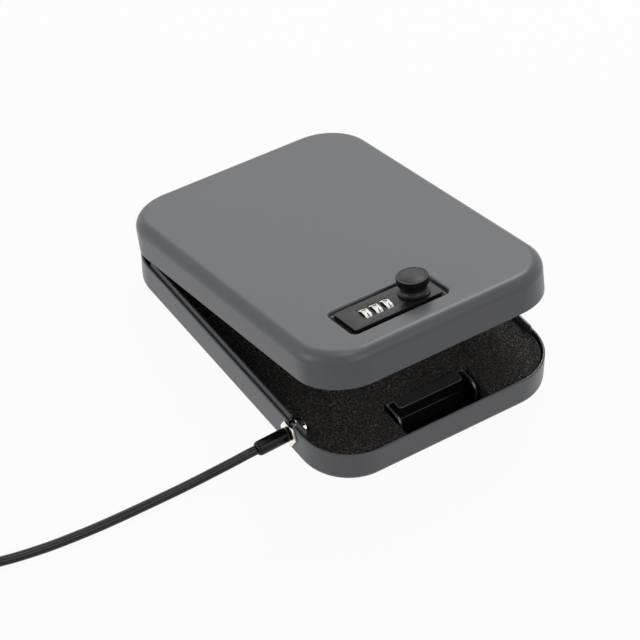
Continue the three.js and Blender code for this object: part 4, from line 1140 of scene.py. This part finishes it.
@dataclass
class Knob:
    """The turning knob: a flared skirt, a narrow neck and a broad flat cap."""

    skirt: Pair = (0.0094, 0.0008)
    skirt_bend: float = 0.00015
    flare_steps: int = 12
    neck_radius: float = 0.0072
    neck_top: float = 0.0061
    bore: Pair = (0.0033, 0.005)
    cap: Pair = (0.0095, 0.0044)
    cap_bevel: float = 0.0003
    ring: Point = (0.0079, 0.0003, 0.0001)

    def placed_piece(self, profile: Sequence[Pair], name: str, node: str) -> bpy.types.Object:
        """Turns a profile, places it on the lock's axis and opens it with the lid.

        Args:
            profile: Its points of radius and height.
            name: The piece's name.
            node: The CAD node that it stands for.

        Returns:
            The piece.
        """
        bm = placed(revolve(profile), Matrix.Translation((0, LOCK.spindle_y, 0)), CASE.opening)
        piece = new_mesh(bm, name, TURNED_SMOOTH)
        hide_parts(node)
        return piece

    def grip(self) -> bpy.types.Object:
        """The skirt and neck.

        Returns:
            The piece.
        """
        bottom = LOCK.plate_top + SEAT
        radius, height = self.skirt
        reach, rise = radius - self.neck_radius, self.neck_top / 2
        angles = (QUARTER * step / self.flare_steps for step in range(1, self.flare_steps + 1))
        foot = bottom + height
        flare = [(self.neck_radius + reach * (1 - math.sin(angle)), foot + rise * (1 - math.cos(angle)))
                 for angle in angles]
        bend, top = self.skirt_bend, bottom + self.neck_top
        bore, bore_top = self.bore
        profile = [(0, bottom + bore_top), (bore, bottom + bore_top), (bore, bottom), (radius - bend, bottom),
                   *arc((radius - bend, bottom + bend), bend, -90, 0, 3),
                   *arc((radius - bend, foot - bend), bend, 0, 60, 3),
                   *flare, (self.neck_radius, top), (0, top)]
        return self.placed_piece(profile, "knob_grip", "knob")

    def button(self) -> bpy.types.Object:
        """The cap, with a fine ring pressed into its top.

        Returns:
            The piece.
        """
        bottom = LOCK.plate_top + self.neck_top + 2 * SEAT
        radius, height = self.cap
        top, bend = bottom + height, self.cap_bevel
        ring, width, depth = self.ring
        profile = [(0, bottom), *arc((radius - bend, bottom + bend), bend, -90, 0, 4),
                   *arc((radius - bend, top - bend), bend, 0, 90, 5),
                   (ring + width, top), (ring + width / 2, top - depth), (ring, top), (0, top)]
        return self.placed_piece(profile, "knob_button", "knob_cap")

    def dress(self) -> None:
        """Builds the knob's two pieces, with painted shade on the cap's side."""
        dress(self.grip(), SATIN_BLACK_AND_SHADE, Body.KNOB)
        button = self.button()
        dress(button, KNOB_TOP, Body.KNOB)
        # Painted shade on the cap's faces that look away from the lid's top.
        tint(button, KNOB_SIDE_SHADE, off_the_top)


@dataclass
class LockPlate:
    """The face plate, and the index dots beside its windows."""

    middle: Pair = (-0.0174, LOCK.wheels_y)
    size: Pair = (0.0592, 0.023)
    corner: float = 0.0014
    thickness: float = 0.0022
    edge: float = 0.00022
    window: Pair = (0.0053, 0.011)
    skin: float = 0.0006
    room: Point = (-0.03575, -0.0148, 0.0138)
    dots: tuple[Pair, ...] = (
        (-0.036375, -0.0849), (-0.028925, -0.0901), (-0.021475, -0.0901), (-0.014025, -0.0897))
    dot: float = 0.0004
    dot_height: float = 0.00004

    def marks(self) -> bpy.types.Object:
        """The small index dots.

        Returns:
            The dots, as one piece.
        """
        bm = bmesh.new()
        for x, y in self.dots:
            bmesh.ops.create_cone(
                bm, cap_ends=True, segments=16, radius1=self.dot, radius2=self.dot, depth=2 * self.dot_height,
                matrix=CASE.opening @ Matrix.Translation((x, y, LOCK.plate_top)))
        return new_mesh(bm, "index_dots")

    def plate(self) -> bpy.types.Object:
        """The plate, with a window for each wheel and a hole for the spindle.

        Returns:
            The plate.
        """
        half_x, half_y = (side / 2 for side in self.size)
        x, y = self.middle
        top = LOCK.plate_top
        bottom = top - self.thickness
        block = rounded_block((x - half_x, y - half_y, bottom), (x + half_x, y + half_y, top), self.corner)
        piece = new_mesh(block, "plate_fine")
        left, right, room_y = self.room
        carve(piece, block_mesh((left, y - room_y / 2, bottom - self.thickness),
                                (right, y + room_y / 2, top - self.skin)))
        half_x, half_y = (side / 2 for side in self.window)
        for x in LOCK.wheels:
            carve(piece, block_mesh((x - half_x, y - half_y, bottom - self.thickness),
                                    (x + half_x, y + half_y, top + self.thickness)))
        spindle = Matrix.Translation((0, LOCK.spindle_y, top))
        carve(piece, cylinder(LOCK.spindle_hole, 3 * self.thickness, spindle, 48))
        with edited(piece) as bm:
            join_flat_faces(bm)
            bevel(bm, edges_at(bm, top), self.edge, 3)
            placed(bm, CASE.opening)
        shade(piece, METAL_SMOOTH)
        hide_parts("lock_plate")
        return piece

    def dress(self) -> None:
        """Builds the plate, coats it, paints shade in black on its sides and marks it."""
        plate = self.plate()
        dress(plate, PLATE_COAT, Body.LID)
        # Painted shade: black on the plate's sides.
        tint(plate, DEEP_BLACK_AND_SHADE, off_the_top)
        dress(self.marks(), DEEP_BLACK_AND_SHADE, Body.LID)


@dataclass
class LockWorks:
    """What lies under the lid behind the lock, and the hinges: CAD nodes, some with their edges rounded."""

    rounded: tuple[tuple[str, Body, float], ...] = (
        ("lock_housing", Body.LID, 0.0003),
        ("latch_carrier", Body.LID, 0.00025),
        ("latch_slide", Body.LATCH, 0.0002),
        ("hinge_lid_leaf_left", Body.LID, 0.0002),
        ("hinge_lid_leaf_right", Body.LID, 0.0002),
        ("hinge_base_leaf_left", Body.BASE, 0.0002),
        ("hinge_base_leaf_right", Body.BASE, 0.0002),
    )
    plated: tuple[str, ...] = (
        "wheel_axle", "detent_spring", "fence_bar", "spiral_cam", "knob_spindle", "cam_screw", "latch_pin",
        "hinge_pin_left", "hinge_pin_right", "plate_screw_1", "plate_screw_2", "plate_screw_3",
        "plate_screw_4", "carrier_screw_1", "carrier_screw_2")
    blackened: tuple[str, ...] = ("gate_disc_1", "gate_disc_2", "gate_disc_3")

    def dress(self) -> None:
        """Finishes the lock's and the hinges' metal, with the gate discs darkened as painted shade."""
        for node, body, edge in self.rounded:
            dress(refined(node, edge, 2), ZINC, body)
        for nodes, finish in ((self.plated, ZINC), (self.blackened, SHADE_DARK_BRASS)):
            for node in nodes:
                dress(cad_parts[node], finish)
                shade(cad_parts[node], METAL_SMOOTH)


# Cable


@dataclass
class Gland:
    """The cable's fitting in the left wall: a hexagon outside, a washer and round nut inside, and a boot."""

    wall: float = -0.0828
    flats: float = 0.014
    flange: float = 0.0016
    chamfer: float = 0.0005
    stud: Pair = (0.003, -0.0741)
    nut: tuple[float, float, float, float] = (0.0072, -0.0787, 0.0044, 0.0006)
    washer: tuple[float, float, float, float] = (0.0054, -0.0809, 0.0019, 0.0002)
    boot: Pair = (0.0045, 0.0206)
    boot_root_bend: float = 0.0003
    boot_shoulder: float = 0.003
    boot_droop: float = 3.0
    cable_radius: float = 0.00285

    def lathe_place(self, x: float, turn: float = 90) -> Matrix:
        """The place of a piece turned about z, laid along x from a point on the gland's axis."""
        return Matrix.Translation((x, *CASE.cable_axis)) @ Matrix.Rotation(math.radians(turn), 4, "Y")

    def hexagon(self) -> bpy.types.Object:
        """The hexagon with its stud, its outer corners rounded off as on a turned nut.

        Returns:
            The piece.
        """
        across = self.flats / math.sqrt(3)
        outer = self.wall - self.flange
        bm = cylinder(across, self.flange, Matrix(), 6)
        placed(bm, Matrix.Translation((0, 0, self.flange / 2)), self.lathe_place(outer))
        piece = new_mesh(bm, "gland_hexagon")
        corner = across + self.chamfer
        cone = revolve([(0, 0), (across - 2 * self.chamfer, 0), (corner, 1.5 * self.chamfer),
                        (corner, self.flange), (0, self.flange)], 72)
        carve(piece, placed(cone, self.lathe_place(outer)), "INTERSECT")
        radius, end = self.stud
        length = end - outer - SEAT
        shank = revolve([(0, 0), (radius, 0), (radius, length - self.chamfer),
                         (radius - self.chamfer, length), (0, length)], 48)
        carve(piece, placed(shank, self.lathe_place(outer + SEAT)), "UNION")
        with edited(piece) as bm:
            bevel(bm, sharp_edges(bm, 25), self.chamfer / 4, 3)
        shade(piece, SHELL_SMOOTH)
        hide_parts("cable_gland")
        return piece

    def ring(self, name: str, node: str, size: tuple[float, float, float, float]) -> bpy.types.Object:
        """A ring round the stud with rounded edges.

        Args:
            name: The piece's name.
            node: The CAD node that it stands for.
            size: Its radius, where it starts, its thickness and how round its edges are.

        Returns:
            The piece.
        """
        radius, start, thickness, bend = size
        bore = self.stud[0] + SEAT
        profile = [(bore, 0), (radius - bend, 0), *arc((radius - bend, bend), bend, -90, 0),
                   *arc((radius - bend, thickness - bend), bend, 0, 90), (bore, thickness), (bore, 0)]
        piece = new_mesh(placed(revolve(profile, 72), self.lathe_place(start)), name, RING_SMOOTH)
        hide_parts(node)
        return piece

    def boot_piece(self) -> bpy.types.Object:
        """The rubber boot, round-shouldered where the cable leaves it.

        Returns:
            The piece.
        """
        radius, length = self.boot
        shoulder, bend = self.boot_shoulder, self.boot_root_bend
        inner = radius - shoulder
        end = math.degrees(math.acos((self.cable_radius + SEAT / 2 - inner) / shoulder))
        profile = [(0, 0), (radius - bend, 0), *arc((radius - bend, bend), bend, -90, 0, 4),
                   *arc((inner, length - shoulder * math.sin(math.radians(end))), shoulder, 0, end, 12),
                   (0, length)]
        root = self.wall - self.flange - 2 * SEAT
        bm = placed(revolve(profile, 72), self.lathe_place(root, -90 - self.boot_droop))
        piece = new_mesh(bm, "boot_sleeve", RING_SMOOTH)
        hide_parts("cable_boot")
        return piece

    def dress(self) -> None:
        """Builds the fitting and its boot."""
        dress(self.hexagon(), CHROME, Body.BASE)
        dress(self.ring("nut_ring", "gland_nut", self.nut), CHROME, Body.BASE)
        dress(self.ring("washer_ring", "gland_washer", self.washer), ZINC, Body.BASE)
        dress(self.boot_piece(), BOOT_RUBBER, Body.BASE)


@dataclass
class Cable:
    """The tether cable: along the ground from the boot, into its coil, and by its crimp to the end loop."""

    diameter: float = 0.0057
    route: tuple[Point, ...] = (
        (-0.1062, -0.0745, 0.0125), (-0.112, -0.0744, 0.0121), (-0.118, -0.0739, 0.0109),
        (-0.129, -0.0728, 0.0088), (-0.140, -0.0714, 0.0064), (-0.152, -0.0702, 0.0044),
        (-0.165, -0.0694, 0.0032), (-0.176, -0.0692, 0.0029), (-0.190, -0.0692, 0.0029),
        (-0.205, -0.0689, 0.0029), (-0.220, -0.0681, 0.0029), (-0.235, -0.0668, 0.0029),
        (-0.248, -0.0649, 0.0029), (-0.258, -0.0631, 0.003), (-0.269, -0.061, 0.0039),
        (-0.281, -0.0587, 0.006), (-0.293, -0.0564, 0.0081),
    )
    centre: Pair = (-0.3019, -0.0161)
    radius: float = 0.0378
    pitch: float = 0.0064
    floor: float = 0.0029
    entry: float = math.radians(259)
    leaves_at: float = math.pi
    inward_turns: float = 2.0
    reversal_turns: float = 0.5
    steps_per_turn: int = 24
    cable_steps: int = 4
    eye_steps: int = 10
    tube_resolution: int = 6
    tail: Pair = (0.032, 0.008)
    crimp_wall: float = 0.0012
    crimp_length: float = 0.018
    crimp_bend: float = 0.0004
    eye_size: Pair = (0.023, 0.078)
    eye_settles_share: float = 0.25
    width_shares: tuple[float, ...] = (0, 0, 0.3, 0.72, 0.97, 0.97, 0.6)
    length_shares: tuple[float, ...] = (0, 0.07, 0.25, 0.45, 0.63, 0.8, 0.95)

    @property
    def crimp_height(self) -> float:
        """Height of the middle line through the crimp."""
        return self.floor + self.crimp_wall

    def coil(self) -> list[Vector]:
        """The coil's middle line: inward on the upper layer, a turn down, and outward on the floor.

        Returns:
            Its points, from the lead to the tail.
        """
        reversal = self.reversal_turns
        lower = self.inward_turns - 1 + (self.entry - self.leaves_at) / (2 * math.pi) + (1 - reversal)
        turns = self.inward_turns + reversal + lower
        steps = round(turns * self.steps_per_turn)
        points = []
        for step in range(steps + 1):
            turn = turns * step / steps
            past = min(max(turn - self.inward_turns, 0), reversal)
            inward = min(turn, self.inward_turns)
            outward = max(turn - self.inward_turns - reversal, 0)
            radius = self.radius - self.pitch * (inward + past - past ** 2 / reversal - outward)
            drop = (1 - math.cos(math.pi * past / reversal)) / 2
            angle = self.entry - 2 * math.pi * turn
            points.append(Vector((
                self.centre[0] + radius * math.cos(angle), self.centre[1] + radius * math.sin(angle),
                self.floor + self.pitch * (1 - drop))))
        return points

    def lead(self) -> list[Vector]:
        """Two points on the straight that leads into the coil."""
        heading = Vector((math.sin(self.entry), -math.cos(self.entry), 0))
        return [self.coil()[0] - distance * heading for distance in (2 * self.diameter + SEAT, self.diameter)]

    def end(self) -> list[Vector]:
        """From the coil to the crimp.

        Returns:
            The middle line's points.
        """
        last = self.coil()[-1]
        reach, level = self.tail
        return [last + Vector((0, (reach - level) / 2, 0)),
                Vector((last.x, last.y + reach - level, self.crimp_height)),
                Vector((last.x, last.y + reach, self.crimp_height))]

    def crimp_start(self) -> Vector:
        """Where the crimp starts, midway between its two barrels."""
        last = self.coil()[-1]
        return Vector((last.x - self.pitch / 2, last.y + self.tail[0] + SEAT, self.crimp_height))

    def eye_points(self) -> list[Vector]:
        """The end loop's middle line, out of the crimp and back into it.

        Returns:
            Its points.
        """
        at = self.crimp_start()
        start = at.y + self.crimp_length + SEAT
        half = self.pitch / 2
        half_width, length = self.eye_size
        leg = []
        for width_share, length_share in zip(self.width_shares, self.length_shares):
            rise = self.crimp_wall * max(0.0, 1 - length_share / self.eye_settles_share)
            leg.append(Vector((
                at.x + half + width_share * (half_width - half), start + length_share * length,
                self.floor + rise)))
        tip = Vector((at.x, start + length, self.floor))
        back = [Vector((2 * at.x - point.x, point.y, point.z)) for point in reversed(leg)]
        return [*leg, tip, *back]

    def smooth(self, points: Sequence[Vector], steps: int) -> list[Vector]:
        """Points along a centripetal curve through the given ones, its ends led on straight.

        Args:
            points: The points to pass through.
            steps: How many steps there are between two of them.

        Returns:
            The finer points.
        """
        ends = [2 * points[0] - points[1], *points, 2 * points[-1] - points[-2]]
        fine = []
        for before, start, finish, after in zip(ends, ends[1:], ends[2:], ends[3:]):
            knots = [0.0]
            for first, second in ((before, start), (start, finish), (finish, after)):
                knots.append(knots[-1] + math.sqrt((second - first).length))
            for step in range(steps):
                at = knots[1] + (knots[2] - knots[1]) * step / steps
                fine.append(self.blend(knots, (before, start, finish, after), at))
        return [*fine, points[-1]]

    @staticmethod
    def blend(knots: Sequence[float], points: Sequence[Vector], at: float) -> Vector:
        """One point of the curve through four points, by repeated blending.

        Args:
            knots: The four points' places along the curve.
            points: The four points.
            at: The place of the point sought, between the two middle knots.

        Returns:
            The point.
        """
        level = list(points)
        for span in (1, 2):
            level = [
                first.lerp(second, (at - knots[low]) / (knots[low + span] - knots[low]))
                for low, (first, second) in enumerate(zip(level, level[1:]))]
        return level[0].lerp(level[1], (at - knots[1]) / (knots[2] - knots[1]))

    def tube(self, name: str, points: Sequence[Vector], steps: int) -> bpy.types.Object:
        """A round curve of the cable's diameter.

        Args:
            name: The piece's name.
            points: The middle line.
            steps: How many steps there are between two points.

        Returns:
            The curve.
        """
        fine = self.smooth(points, steps)
        curve = bpy.data.curves.new(name, "CURVE")
        curve.dimensions = "3D"
        curve.bevel_depth = self.diameter / 2
        curve.bevel_resolution = self.tube_resolution
        curve.use_fill_caps = True
        spline = curve.splines.new("POLY")
        spline.use_smooth = True
        spline.points.add(len(fine) - 1)
        for place, point in zip(spline.points, fine):
            place.co = (*point, 1)
        piece = bpy.data.objects.new(name, curve)
        bpy.context.scene.collection.objects.link(piece)
        return piece

    def dress(self) -> None:
        """Lays the cable, its crimp and its end loop."""
        points = [*map(Vector, self.route), *self.lead(), *self.coil(), *self.end()]
        cable = self.tube("tether_cable", points, self.cable_steps)
        eye = self.tube("end_loop", self.eye_points(), self.eye_steps)
        crimp = refined("crimp_sleeve", self.crimp_bend)
        for cord in (cable, eye):
            dress(cord, CABLE_VINYL, Body.BASE)
        dress(crimp, ZINC, Body.BASE)
        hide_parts("cable_run", "cable_coil")
        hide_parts("cable_eye_loop")


# Studio


@dataclass(frozen=True)
class Lamp:
    """One soft rectangular light."""

    name: str
    place: Point
    size: Pair
    power: float


@dataclass
class Studio:
    """The camera, the lights and the white floor."""

    focal: float = 131.45
    sensor: float = 36
    clip: Pair = (0.05, 20)
    turn: float = -33.211
    height: float = 42.771
    distance: float = 1.408934
    aim: Pair = (-0.011104, -0.020302)
    target: Point = (0.0, 0.0, 0.03)
    floor_half: float = 4.0
    floor_grey: float = 0.95
    floor_roughness: float = 0.9
    floor_specular: float = 0.1
    floor_white_share: float = 0.95
    sky: float = 0.03
    lamps: tuple[Lamp, ...] = (
        Lamp("key", (0.9, 0.8, 1.4), (0.7, 0.7), 9.0),
        Lamp("rear", (0.9, 2.0, 1.1), (1.6, 1.0), 5.0),
        Lamp("left", (-1.75, 0.6, 0.7), (1.0, 1.0), 7.0),
        Lamp("front", (0.1, -1.55, 1.3), (1.2, 0.8), 5.0),
        Lamp("top", (0.0, 0.1, 2.0), (0.6, 0.6), 4.0),
    )

    def camera(self) -> None:
        """Places the camera where the photograph was taken from."""
        turn, height = math.radians(self.turn), math.radians(self.height)
        level = Vector((math.sin(turn), -math.cos(turn), 0)) * math.cos(height)
        back = level + Vector((0, 0, math.sin(height)))
        right = (-back).cross(Vector((0, 0, 1))).normalized()
        up = right.cross(-back)
        target = Vector(self.target) + right * self.aim[0] + up * self.aim[1]
        data = bpy.data.cameras.new("camera")
        data.lens = self.focal
        data.sensor_width = self.sensor
        data.clip_start, data.clip_end = self.clip
        camera = bpy.data.objects.new("camera", data)
        bpy.context.scene.collection.objects.link(camera)
        camera.matrix_world = Matrix.Translation(target + back * self.distance) @ Matrix(
            (right, up, back)).transposed().to_4x4()
        bpy.context.scene.camera = camera

    def light(self, lamp: Lamp) -> None:
        """Hangs one light, facing the safe.

        Args:
            lamp: The light.
        """
        data = bpy.data.lights.new(lamp.name, "AREA")
        data.shape = "RECTANGLE"
        data.size, data.size_y = lamp.size
        data.energy = lamp.power
        light = bpy.data.objects.new(lamp.name, data)
        bpy.context.scene.collection.objects.link(light)
        facing = (Vector(self.target) - Vector(lamp.place)).to_track_quat("-Z", "Y")
        light.matrix_world = Matrix.Translation(lamp.place) @ facing.to_matrix().to_4x4()

    @staticmethod
    def background_seen(tree: bpy.types.NodeTree) -> bpy.types.NodeSocket:
        """A mask that is one where the camera, a mirror or a clear piece shows the background.

        Args:
            tree: The node tree that takes the mask.

        Returns:
            The mask's socket.
        """
        rays = add_node(tree, "LightPath", {}).outputs
        mirrored = maths(tree, "MAXIMUM", rays["Is Camera Ray"], rays["Is Glossy Ray"])
        return maths(tree, "MAXIMUM", mirrored, rays["Is Transmission Ray"])

    def floor(self) -> None:
        """The floor: pale to the light, and white with only a soft shadow where it is seen or mirrored."""
        bm = bmesh.new()
        bmesh.ops.create_grid(bm, x_segments=1, y_segments=1, size=self.floor_half)
        floor = new_mesh(bm, "floor")
        if floor.data.polygons[0].normal.z < 0:
            floor.data.flip_normals()
        material = bpy.data.materials.new("floor")
        material.use_nodes = True
        tree = material.node_tree
        shader = tree.nodes["Principled BSDF"]
        feed(shader, {
            "Base Color": (*(self.floor_grey,) * 3, 1), "Roughness": self.floor_roughness,
            "Specular IOR Level": self.floor_specular})
        mix = add_node(tree, "MixShader", {
            "Fac": maths(tree, "MULTIPLY", self.background_seen(tree), self.floor_white_share),
            1: shader.outputs["BSDF"], 2: add_node(tree, "Emission", {}).outputs["Emission"]})
        feed(tree.nodes["Material Output"], {"Surface": mix.outputs["Shader"]})
        floor.data.materials.append(material)

    def world(self) -> None:
        """A dim even sky, which is white where it is seen or mirrored."""
        world = bpy.data.worlds.new("studio")
        world.use_nodes = True
        bpy.context.scene.world = world
        tree = world.node_tree
        strength = add_node(tree, "MapRange", {
            "Value": self.background_seen(tree), "To Min": self.sky, "To Max": 1.0})
        feed(tree.nodes["Background"], {"Color": (1, 1, 1, 1), "Strength": strength.outputs["Result"]})

    def build(self) -> None:
        """Sets up the whole studio."""
        bpy.context.scene.view_settings.view_transform = "Standard"
        self.camera()
        self.floor()
        self.world()
        for lamp in self.lamps:
            self.light(lamp)


def main() -> None:
    """Dresses the part, lights it and places the camera."""
    logging.basicConfig(level=logging.INFO, format="%(name)s: %(message)s")
    Studio().build()
    Cable().dress()
    for assembly in (Gland(), Base(), Lid(), Foams(), Keeper(), LockPlate(), Wheels(), Knob(), LockWorks()):
        LOG.info("building %s", type(assembly).__name__)
        assembly.dress()
    bpy.context.view_layer.update()


if __name__ == "__main__":
    main()
